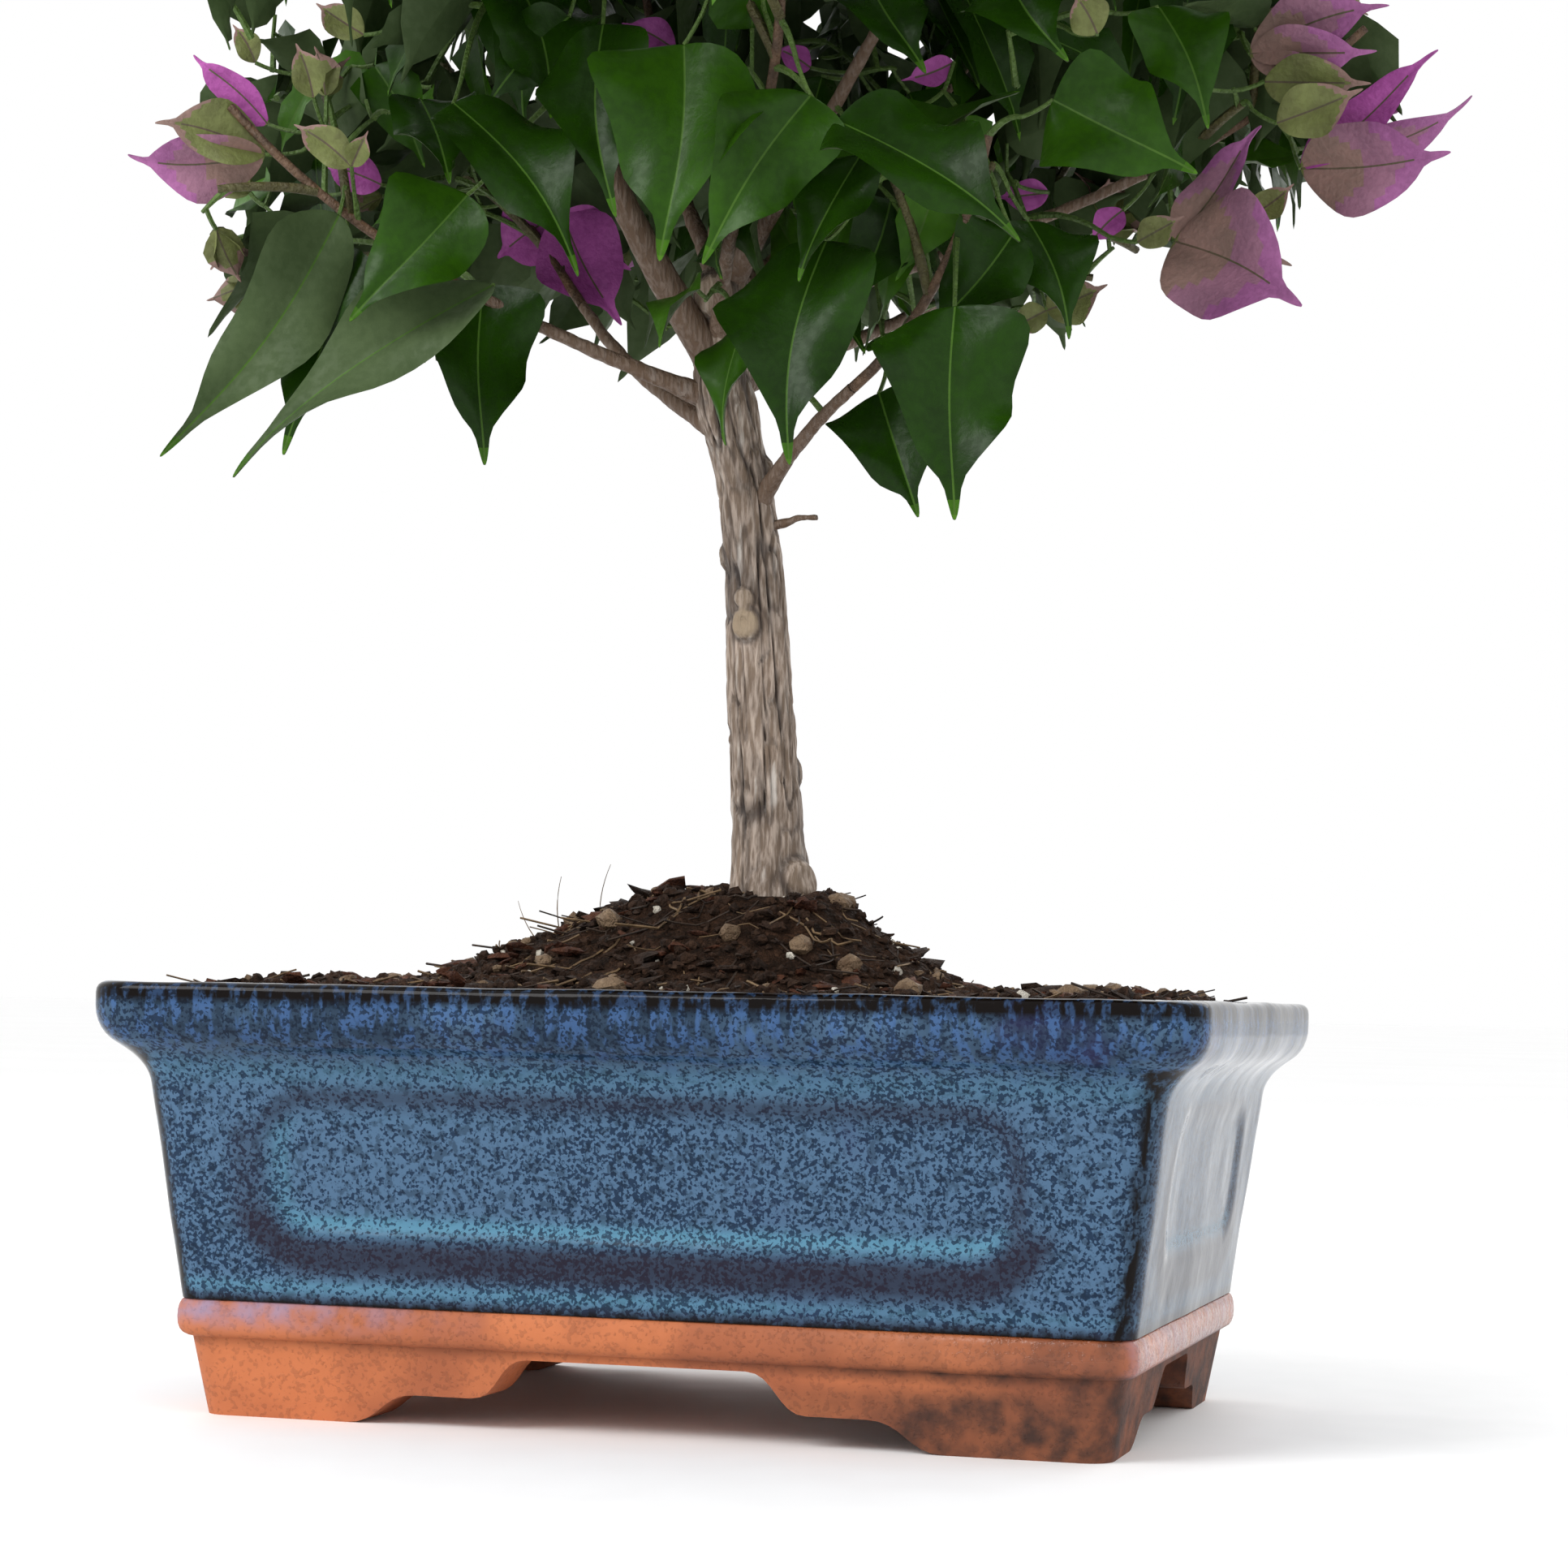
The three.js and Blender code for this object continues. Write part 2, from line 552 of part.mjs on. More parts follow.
function growLeaf(root, along, phase, own, grown, random) {
  const stalk = LEAF.stalk + LEAF.stalkPlay * random();
  const full = LEAF.length + LEAF.play * random();
  const fall = LEAF_TURN.droop + LEAF_TURN.droopPlay * random();
  for (let attempt = 0; attempt < LEAF_TRIES.count; attempt += 1) {
    const length = full * (1 - LEAF_TRIES.shrink * attempt);
    const droop = fall * (1 - LEAF_TRIES.lift * (attempt % 3));
    const side = around(along, phase + attempt * GOLDEN);
    const reach = side.clone().multiplyScalar(STALK_TURN.side)
      .addScaledVector(along, STALK_TURN.ahead)
      .normalize();
    const base = root.clone().addScaledVector(reach, stalk);
    const outward = base.clone().sub(CROWN_AXIS).setZ(0).normalize();
    const axis = reach.clone().multiplyScalar(LEAF_TURN.side)
      .addScaledVector(outward, LEAF_TURN.outward)
      .addScaledVector(UP, -droop)
      .normalize();
    const facing = outward.clone().multiplyScalar(LEAF_FACE.outward)
      .addScaledVector(UP, LEAF_FACE.up)
      .addScaledVector(side, LEAF_FACE.side);
    const blade = makeBlade(root, base, axis, facing, length, length * LEAF.width);
    if (bladeFits(blade, own, grown)) return blade;
  }
  return null;
}

function growBracts(branch, phase, own, grown, random) {
  const stalk = BRACT.stalk + BRACT.stalkPlay * random();
  const length = BRACT.length + BRACT.play * random();
  for (const [attempt, t] of BRACT_PLACES.entries()) {
    const root = branch.curve.getPoint(t);
    const ahead = branch.curve.getTangent(t)
      .addScaledVector(around(branch.curve.getTangent(t), phase + attempt * GOLDEN), BRACT_LEAN * (1 - t))
      .normalize();
    const tip = root.clone().addScaledVector(ahead, stalk);
    const blades = [0, 1, 2].map((k) => {
      const side = around(ahead, phase + (k / 3) * 2 * Math.PI);
      const axis = ahead.clone().multiplyScalar(BRACT.forward).addScaledVector(side, BRACT.side).normalize();
      return makeBlade(tip, tip, axis, ahead, length, length * BRACT.width);
    });
    const spots = blades.map(bladeSpots);
    if (spots.flat().every((spot) => insideSpace(spot, own, -BRACT_BEYOND) && clearOfLimbs(spot, LIMB_GAP))) {
      spots.forEach((places) => grown.blades.push({ middle: places[BLADE_MIDDLE], spots: places }));
      return { root, tip, blades };
    }
  }
  return null;
}

// Foliage masses

function stemCurve(mass) {
  const bough = boughCurve(mass);
  const ahead = bough.getTangent(1);
  const start = bough.getPoint(1).addScaledVector(ahead, CLEAR);
  const centre = massCentre(mass);
  const outward = centre.clone().sub(start).normalize();
  const end = centre.clone()
    .addScaledVector(outward, STEM.beyond * mass.reach)
    .addScaledVector(UP, STEM.lift * mass.reach);
  const bend = start.clone().addScaledVector(ahead, STEM.sag * end.distanceTo(start));
  return new THREE.QuadraticBezierCurve3(start, bend, end);
}

function growTwig(stem, order, own, random) {
  const mass = MASSES[own];
  const t = TWIG.first + (1 - TWIG.first) * (order / (TWIG.count - 1));
  const start = stem.getPoint(t);
  const along = stem.getTangent(t);
  const spread = THREE.MathUtils.degToRad(TWIG.spread);
  const out = around(along, order * GOLDEN + random()).multiplyScalar(Math.sin(spread));
  out.addScaledVector(along, Math.cos(spread)).addScaledVector(UP, TWIG.lift).normalize();
  const full = mass.reach * (TWIG_LENGTH.share + TWIG_LENGTH.play * random());
  for (const cut of TWIG_CUTS) {
    const length = full * cut;
    const end = start.clone().addScaledVector(out, length).addScaledVector(UP, -TWIG.arch * length);
    const bend = start.clone().addScaledVector(out, length / 2).addScaledVector(UP, TWIG.arch * length);
    const curve = new THREE.QuadraticBezierCurve3(start, bend, end);
    const fits = TWIG_PROBES.every((s) => {
      const spot = curve.getPoint(s);
      return insideSpace(spot, own, TWIG_MARGIN) && clearOfLimbs(spot, LIMB_GAP);
    });
    if (length > TWIG.least && fits) return { curve, length };
  }
  return null;
}

function growMass(own) {
  const mass = MASSES[own];
  const random = seeded(SEED + own * SEED_STEP);
  const stem = stemCurve(mass);
  const stems = [{ curve: stem, length: stem.getLength(), root: mass.thick * BOUGH_TAPER, tip: STEM.tip }];
  for (let order = 0; order < TWIG.count; order += 1) {
    const twig = growTwig(stem, order, own, random);
    if (twig) stems.push({ ...twig, root: TWIG_BODY.root, tip: TWIG_BODY.tip });
  }
  const grown = { twigs: stems.flatMap((branch) => branch.curve.getPoints(LIMB_SAMPLES)), blades: [] };
  const clusters = [];
  stems.forEach((branch, which) => {
    if (random() < mass.bloom) {
      const cluster = growBracts(branch, which, own, grown, random);
      if (cluster) clusters.push(cluster);
    }
  });
  const leaves = [];
  stems.toReversed().forEach((branch, fromLast) => {
    const which = stems.length - 1 - fromLast;
    const first = which === 0 ? branch.length * STEM.bare : LEAF.first;
    const count = Math.max(0, Math.floor((branch.length - first) / LEAF.spacing));
    for (let k = 0; k <= count; k += 1) {
      const t = Math.min(branch.length - LEAF.sunk, first + k * LEAF.spacing) / branch.length;
      const root = branch.curve.getPoint(t);
      const leaf = growLeaf(root, branch.curve.getTangent(t), k * GOLDEN + which, own, grown, random);
      if (leaf) leaves.push(leaf);
    }
  });
  return { stems, leaves, clusters };
}

function seeded(seed) {
  let state = seed;
  return () => {
    state = (state + 0x6d2b79f5) | 0;
    let mixed = Math.imul(state ^ (state >>> 15), 1 | state);
    mixed = (mixed + Math.imul(mixed ^ (mixed >>> 7), 61 | mixed)) ^ mixed;
    return ((mixed ^ (mixed >>> 14)) >>> 0) / 4294967296;
  };
}

function makeMass(own) {
  const { stems, leaves, clusters } = growMass(own);
  const bodies = stems.map((branch, which) => solid(tube(
    branch.curve,
    (t) => THREE.MathUtils.lerp(branch.root, branch.tip, t),
    which === 0 ? STEM.segments : TWIG_BODY.segments,
    which === 0 ? STEM.sides : TWIG_BODY.sides,
  )));
  leaves.forEach((leaf) => bodies.push(bladeSolid(leaf)));
  clusters.forEach(({ root, tip, blades }) => {
    const ahead = tip.clone().sub(root).normalize();
    const stalk = new THREE.LineCurve3(root.clone().addScaledVector(ahead, -BRACT.sunk), tip);
    bodies.push(solid(tube(stalk, () => TWIG_BODY.tip, 1, 3)));
    blades.forEach((blade, k) => {
      blade.root = tip.clone().addScaledVector(ahead, -BRACT.sunk * (1 + k));
      bodies.push(bladeSolid(blade));
    });
  });
  const body = largest(wasm.Manifold.union(bodies));
  addPart(`mass_${MASSES[own].name}`, body, FOLIAGE, 0.6);
}

makePot();
makeFoot();
makeSoil();
makeTrunk();
makeBoughs();
MASSES.forEach((_, own) => makeMass(own));

const extent = new THREE.Box3().setFromObject(part);
const middle = extent.getCenter(new THREE.Vector3());
part.position.set(-middle.x, -middle.y, -extent.min.z);

export default part;
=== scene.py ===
"""A flowering bougainvillea bonsai in its glazed pot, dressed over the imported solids.

Shapes are worked out in millimetres from the middle of the pot's base, +Z up, and each finished
mesh is then set into the shared frame, in metres.
"""

import logging
import math
from collections.abc import Callable, Iterator, Sequence
from dataclasses import KW_ONLY, dataclass, field, replace
from enum import Enum, IntEnum
from functools import cached_property, reduce

import bpy
import numpy as np
from mathutils import Matrix, Vector


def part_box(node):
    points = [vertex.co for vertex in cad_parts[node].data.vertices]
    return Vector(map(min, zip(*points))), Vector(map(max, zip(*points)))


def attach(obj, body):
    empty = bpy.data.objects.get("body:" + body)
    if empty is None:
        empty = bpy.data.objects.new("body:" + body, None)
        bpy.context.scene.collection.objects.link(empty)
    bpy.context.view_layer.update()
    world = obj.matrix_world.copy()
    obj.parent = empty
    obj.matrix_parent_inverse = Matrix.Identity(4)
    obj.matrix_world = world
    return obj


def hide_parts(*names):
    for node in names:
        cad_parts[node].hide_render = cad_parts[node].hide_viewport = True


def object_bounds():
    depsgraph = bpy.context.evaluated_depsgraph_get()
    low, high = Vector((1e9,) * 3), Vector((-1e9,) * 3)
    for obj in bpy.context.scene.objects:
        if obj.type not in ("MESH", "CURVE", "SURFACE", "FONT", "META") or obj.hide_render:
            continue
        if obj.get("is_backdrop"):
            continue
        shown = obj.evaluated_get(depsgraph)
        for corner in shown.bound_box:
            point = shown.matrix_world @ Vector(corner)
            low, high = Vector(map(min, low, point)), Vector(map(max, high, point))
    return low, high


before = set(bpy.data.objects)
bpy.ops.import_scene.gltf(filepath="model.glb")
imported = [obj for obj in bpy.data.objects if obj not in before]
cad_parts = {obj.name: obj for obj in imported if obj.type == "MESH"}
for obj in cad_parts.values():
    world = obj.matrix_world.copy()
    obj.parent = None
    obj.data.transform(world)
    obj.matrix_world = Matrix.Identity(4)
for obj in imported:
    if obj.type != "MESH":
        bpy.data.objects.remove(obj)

Array = np.ndarray
Piece = bpy.types.Object
Pair = tuple[float, float]
Socket = bpy.types.NodeSocket
Layers = tuple[Socket, Socket, Socket]
Material = bpy.types.Material

LOG = logging.getLogger("bonsai")
CAD_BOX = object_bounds()
BODY = "root"
MM = 0.001
UP = np.array([0.0, 0.0, 1.0])
EYE = np.array((187.3, -617.8, 75.7))
GOLDEN = math.radians(137.5)


def pot_middle() -> Vector:
    """Finds the middle of the pot's base in the shared frame, in metres."""
    low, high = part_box("pot")
    return Vector(((low.x + high.x) / 2, (low.y + high.y) / 2, 0.0))


MIDDLE = pot_middle()
TO_FRAME = Matrix.Translation(MIDDLE) @ Matrix.Scale(MM, 4)


def paint(code: str) -> tuple[float, float, float, float]:
    """Turns a colour code into a linear colour.

    Args:
        code: Six hexadecimal digits, red, green and blue.

    Returns:
        Linear red, green, blue and a full alpha.
    """
    shares = [int(code[i:i + 2], 16) / 255 for i in (0, 2, 4)]
    linear = [s / 12.92 if s <= 0.04045 else ((s + 0.055) / 1.055) ** 2.4 for s in shares]
    return (linear[0], linear[1], linear[2], 1.0)


# Noise and curves


class Grain:
    """Smooth seeded noise on a plane, which can close on itself across."""

    def __init__(self, seed: int, cells: int = 64) -> None:
        """Deals the noise's values, for so many cells across and along before it repeats."""
        self.cells = cells
        self.values = np.random.default_rng(seed).random((cells, cells))

    def at(self, across: Array, along: Array, period: int | None = None) -> Array:
        """Reads the noise.

        Args:
            across: Places across, in cells.
            along: Places along, in cells.
            period: Cells across after which the noise closes on itself.

        Returns:
            Values from 0 to 1.
        """
        wrap = period or self.cells
        column = np.floor(across).astype(int)
        row = np.floor(along).astype(int)
        u = across - column
        v = along - row
        u = u * u * (3 - 2 * u)
        v = v * v * (3 - 2 * v)

        def value(i: Array, j: Array) -> Array:
            """Reads one corner of each cell."""
            return self.values[np.mod(i, wrap) % self.cells, np.mod(j, self.cells)]

        low = value(column, row) * (1 - u) + value(column + 1, row) * u
        high = value(column, row + 1) * (1 - u) + value(column + 1, row + 1) * u
        return low * (1 - v) + high * v


def smooth(low: float, high: float, value: Array) -> Array:
    """Rises smoothly from 0 where the value is low to 1 where it is high."""
    share = np.clip((value - low) / (high - low), 0, 1)
    return share * share * (3 - 2 * share)


def hump(value: Array, middle: float, spread: float) -> Array:
    """Gives a soft hump: 1 where the value is in the middle, falling away over the spread."""
    return np.exp(-((value - middle) / spread) ** 2)


def unit(vector: Array) -> Array:
    """Gives the vector a length of one."""
    return vector / np.linalg.norm(vector)


def across(axis: Array) -> tuple[Array, Array]:
    """Finds two directions square to an axis.

    Args:
        axis: Direction of the axis.

    Returns:
        The level direction and the one square to both.
    """
    side = np.cross(axis, UP)
    if np.linalg.norm(side) < 0.05:
        side = np.array([1.0, 0.0, 0.0]) - axis * axis[0]
    side = unit(side)
    return side, unit(np.cross(axis, side))


def around(axis: Array, angle: float) -> Array:
    """Gives the direction at an angle round an axis, square to it."""
    side, other = across(axis)
    return side * math.cos(angle) + other * math.sin(angle)


def compass(azimuth: float, rise: float) -> Array:
    """Gives a direction.

    Args:
        azimuth: Degrees from +X.
        rise: Degrees above the level.

    Returns:
        The direction.
    """
    turn = math.radians(azimuth)
    lift = math.radians(rise)
    return np.array([math.cos(turn) * math.cos(lift), math.sin(turn) * math.cos(lift), math.sin(lift)])


@dataclass
class Bow:
    """A curve from a start to an end, pulled to one point between."""

    start: Array
    bend: Array
    end: Array

    def point(self, t: float) -> Array:
        """Gives the point at a share of the curve."""
        s = 1 - t
        return self.start * (s * s) + self.bend * (2 * s * t) + self.end * (t * t)

    def ahead(self, t: float) -> Array:
        """Gives the direction at a share of the curve."""
        return unit((self.bend - self.start) * (1 - t) + (self.end - self.bend) * t)

    def points(self, steps: int) -> Array:
        """Gives points at even shares, both ends included."""
        return np.array([self.point(i / steps) for i in range(steps + 1)])

    def cut(self, t: float) -> "Bow":
        """Gives the curve's first part, up to a share of it."""
        return Bow(self.start, self.start + (self.bend - self.start) * t, self.point(t))

    def length(self) -> float:
        """Gives the curve's length."""
        return float(np.linalg.norm(np.diff(self.points(200), axis=0), axis=1).sum())


# Work on one mesh at a time


class Pick(Enum):
    """What a selection is made of."""

    CORNERS = "VERT"
    EDGES = "EDGE"
    FACES = "FACE"


class Bench:
    """One piece on the bench, in millimetres, and the modelling steps on it."""

    def __init__(self, piece: Piece) -> None:
        """Takes the piece."""
        self.piece = piece

    @property
    def mesh(self) -> bpy.types.Mesh:
        """The piece's mesh."""
        return self.piece.data

    @classmethod
    def added(cls, name: str) -> "Bench":
        """Takes the piece that was just added, with its place and size in its mesh.

        Args:
            name: The piece's name.

        Returns:
            The piece on the bench.
        """
        piece = cls(bpy.context.object)
        piece.rename(name)
        piece.take()
        bpy.ops.object.transform_apply(location=True, rotation=True, scale=True)
        return piece

    @classmethod
    def join(cls, name: str, pieces: Sequence["Bench"]) -> "Bench":
        """Joins pieces into one.

        Args:
            name: Name of the joined piece.
            pieces: The pieces.

        Returns:
            The joined piece.
        """
        pieces[0].take()
        for other in pieces[1:]:
            other.piece.select_set(True)
        bpy.ops.object.join()
        pieces[0].rename(name)
        return pieces[0]

    def rename(self, name: str) -> None:
        """Names the piece and its mesh."""
        self.piece.name = name
        self.mesh.name = name

    def take(self) -> None:
        """Leaves only this piece selected and active, in object mode."""
        if bpy.context.object is not None and bpy.context.object.mode != "OBJECT":
            bpy.ops.object.mode_set(mode="OBJECT")
        bpy.ops.object.select_all(action="DESELECT")
        self.piece.select_set(True)
        bpy.context.view_layer.objects.active = self.piece

    def corners(self) -> Array:
        """Reads the places of the mesh's vertices.

        Returns:
            The places.
        """
        flat = np.empty(len(self.mesh.vertices) * 3, np.float32)
        self.mesh.vertices.foreach_get("co", flat)
        return flat.reshape(-1, 3).astype(float)

    def move(self, places: Array) -> None:
        """Sets the places of the mesh's vertices."""
        self.mesh.vertices.foreach_set("co", places.astype(np.float32).ravel())
        self.mesh.update()

    def pick(self, kind: Pick, chosen: Array | None = None) -> None:
        """Opens the piece in edit mode with some of it selected.

        Args:
            kind: Vertices, edges or faces.
            chosen: One truth value for each of them; all of them without it.
        """
        self.take()
        bpy.ops.object.mode_set(mode="EDIT")
        bpy.ops.mesh.select_mode(type=kind.value)
        bpy.ops.mesh.select_all(action="DESELECT")
        bpy.ops.object.mode_set(mode="OBJECT")
        mesh = self.mesh
        parts = {Pick.CORNERS: mesh.vertices, Pick.EDGES: mesh.edges, Pick.FACES: mesh.polygons}[kind]
        parts.foreach_set("select", np.ones(len(parts), bool) if chosen is None else chosen.astype(bool))
        bpy.ops.object.mode_set(mode="EDIT")

    def picked(self) -> Array:
        """Closes edit mode and tells which vertices are selected.

        Returns:
            One truth value for each.
        """
        bpy.ops.object.mode_set(mode="OBJECT")
        chosen = np.empty(len(self.mesh.vertices), bool)
        self.mesh.vertices.foreach_get("select", chosen)
        return chosen

    def divide(self, *rows: tuple[int, float, int]) -> None:
        """Divides long edges.

        Args:
            rows: An axis, 0, 1 or 2 for X, Y or Z, the length along it past which edges are divided,
                and the cuts in each edge.
        """
        for axis, longer, cuts in rows:
            pairs = np.empty(len(self.mesh.edges) * 2, np.int32)
            self.mesh.edges.foreach_get("vertices", pairs)
            first, second = self.corners()[pairs.reshape(-1, 2).T]
            self.pick(Pick.EDGES, np.abs(second - first)[:, axis] > longer)
            bpy.ops.mesh.subdivide(number_cuts=cuts)
            bpy.ops.object.mode_set(mode="OBJECT")

    def outward(self) -> None:
        """Turns all faces outwards."""
        self.pick(Pick.FACES)
        bpy.ops.mesh.normals_make_consistent(inside=False)
        bpy.ops.object.mode_set(mode="OBJECT")

    def modify(self, kind: str, **settings: object) -> None:
        """Adds a modifier and applies it.

        Args:
            kind: The modifier's type.
            settings: Its settings.
        """
        self.take()
        modifier = self.piece.modifiers.new(kind.title(), kind)
        for key, value in settings.items():
            setattr(modifier, key, value)
        bpy.ops.object.modifier_apply(modifier=modifier.name)

    def waver(self, name: str, size: float, height: float) -> None:
        """Makes the surface waver.

        Args:
            name: Name of the waver.
            size: Size of its waves.
            height: Their height.
        """
        waves = bpy.data.textures.new(name, "CLOUDS")
        waves.noise_scale = size
        self.modify("DISPLACE", texture=waves, strength=height, mid_level=0.5)

    def cut(self, cutter: "Bench") -> None:
        """Cuts the piece by another and takes the cutter away."""
        self.modify("BOOLEAN", operation="DIFFERENCE", object=cutter.piece, solver="EXACT")
        bpy.data.objects.remove(cutter.piece)

    def mark(self, **marks: Array) -> None:
        """Writes numbers from 0 to 1 for each vertex, for the materials to read.

        Args:
            marks: The numbers, by name.
        """
        for name, values in marks.items():
            layer = self.mesh.attributes.new(name, "FLOAT", "POINT")
            layer.data.foreach_set("value", np.clip(values, 0, 1).astype(np.float32))

    def finish(self, slot: str, nodes: Sequence[str], angle: float, *materials: Material) -> None:
        """Dresses the piece, sets it into the frame, shades it and ties it to the plant's body.

        Args:
            slot: Not used.
            nodes: The solids that it stands for.
            angle: Degrees past which an edge stays sharp.
            materials: Its materials, in the order of the slots of its faces.
        """
        for material in materials:
            self.mesh.materials.append(material)
        self.mesh.transform(TO_FRAME)
        self.take()
        bpy.ops.object.shade_smooth_by_angle(angle=math.radians(angle))
        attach(self.piece, BODY)
        if nodes:
            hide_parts(*nodes)
        LOG.info("%s: %d faces", self.piece.name, len(self.mesh.polygons))


class Shell:
    """Gathers many small closed shapes into the arrays of one mesh."""

    def __init__(self) -> None:
        """Starts with nothing gathered."""
        self.points: list[Array] = []
        self.faces: list[Array] = []
        self.slots: list[Array] = []
        self.count = 0

    def add(self, points: Array, faces: Array, slots: Array | int) -> None:
        """Adds one shape.

        Args:
            points: Its points.
            faces: Its four-cornered faces, as indexes of the points; a three-cornered face repeats one.
            slots: The material of each face, or of all.
        """
        self.points.append(points)
        self.faces.append(faces + self.count)
        self.slots.append(np.broadcast_to(slots, len(faces)))
        self.count += len(points)

    def piece(self, name: str) -> Bench:
        """Makes the mesh of all that was gathered.

        Args:
            name: The piece's name.

        Returns:
            The piece.
        """
        faces = np.concatenate(self.faces)
        loops = []
        sizes = []
        for row in faces.tolist():
            corners = list(dict.fromkeys(row))
            loops.extend(corners)
            sizes.append(len(corners))
        mesh = bpy.data.meshes.new(name)
        mesh.vertices.add(self.count)
        mesh.vertices.foreach_set("co", np.concatenate(self.points).astype(np.float32).ravel())
        mesh.loops.add(len(loops))
        mesh.loops.foreach_set("vertex_index", np.array(loops, np.int32))
        mesh.polygons.add(len(sizes))
        starts = np.concatenate([[0], np.cumsum(sizes)[:-1]])
        mesh.polygons.foreach_set("loop_start", starts.astype(np.int32))
        mesh.polygons.foreach_set("material_index", np.concatenate(self.slots).astype(np.int32))
        mesh.update(calc_edges=True)
        mesh.validate()
        piece = bpy.data.objects.new(name, mesh)
        bpy.context.collection.objects.link(piece)
        return Bench(piece)


def tube(line: Array, radii: Array, sides: int) -> tuple[Array, Array]:
    """Makes a closed tube along a line of points.

    Args:
        line: Points of the line.
        radii: Radius at each point.
        sides: Sides of the tube.

    Returns:
        The tube's points and four-cornered faces.
    """
    ahead = np.gradient(line, axis=0)
    turns = np.arange(sides) * (2 * math.pi / sides)
    rings = []
    for centre, axis, radius in zip(line, ahead, radii):
        side, other = across(unit(axis))
        rings.append(centre + radius * (np.outer(np.cos(turns), side) + np.outer(np.sin(turns), other)))
    points = np.concatenate(rings + [line[:1], line[-1:]])
    first = np.arange(sides)
    second = (first + 1) % sides
    faces = []
    for row in range(len(line) - 1):
        low = row * sides
        faces.append(np.stack([low + first, low + second, low + sides + second, low + sides + first], 1))
    bottom = np.full(sides, len(points) - 2)
    top = (len(line) - 1) * sides
    faces.append(np.stack([second, first, bottom, bottom], 1))
    faces.append(np.stack([top + first, top + second, bottom + 1, bottom + 1], 1))
    return points, np.concatenate(faces)


# Finishes


class Sheet:
    """Adds and joins the nodes of one material or node group."""

    def __init__(self, tree: bpy.types.NodeTree) -> None:
        """Takes the tree to work on."""
        self.tree = tree

    def add(self, kind: str, inputs: dict | None = None, **settings: object) -> bpy.types.Node:
        """Adds a node.

        Args:
            kind: Type of the node.
            inputs: Numbers and colours for its inputs, and sockets to link to them.
            settings: Its own settings.

        Returns:
            The node.
        """
        node = self.tree.nodes.new(kind)
        for key, value in settings.items():
            setattr(node, key, value)
        self.feed(node, inputs or {})
        return node

    def feed(self, node: bpy.types.Node, inputs: dict) -> None:
        """Feeds a node's inputs.

        Args:
            node: The node.
            inputs: Numbers and colours for its inputs, and sockets to link to them.
        """
        for key, value in inputs.items():
            if isinstance(value, Socket):
                self.tree.links.new(value, node.inputs[key])
            else:
                node.inputs[key].default_value = value

    def mix(self, share: object, low: object, high: object) -> Socket:
        """Mixes two colours by the share of the second."""
        return self.add("ShaderNodeMix", {0: share, 6: low, 7: high}, data_type="RGBA").outputs[2]

    def sum(self, how: str, first: object, second: object) -> Socket:
        """Works out one number from two, by the named operation."""
        return self.add("ShaderNodeMath", {0: first, 1: second}, operation=how, use_clamp=True).outputs[0]

    def times(self, *factors: object) -> Socket:
        """Multiplies masks and numbers."""
        return reduce(lambda first, second: self.sum("MULTIPLY", first, second), factors)

    def tint(self, colour: Socket, code: str, *masks: object) -> Socket:
        """Lays a colour over another by the product of masks and numbers."""
        return self.mix(self.times(*masks), colour, paint(code))

    def read(self, *names: str) -> list[Socket]:
        """Reads the numbers that the mesh carries by these names."""
        return [self.add("ShaderNodeAttribute", attribute_name=name).outputs["Fac"] for name in names]

    def span(self, value: Socket, low: float, high: float) -> Socket:
        """Stretches a mask between two numbers."""
        return self.add("ShaderNodeMapRange", {"Value": value, "To Min": low, "To Max": high}).outputs[0]

    def ramp(self, value: Socket, low: Socket, high: Socket) -> Socket:
        """Makes a mask that rises smoothly between two numbers."""
        inputs = {"Value": value, "From Min": low, "From Max": high}
        return self.add("ShaderNodeMapRange", inputs, interpolation_type="SMOOTHSTEP").outputs[0]


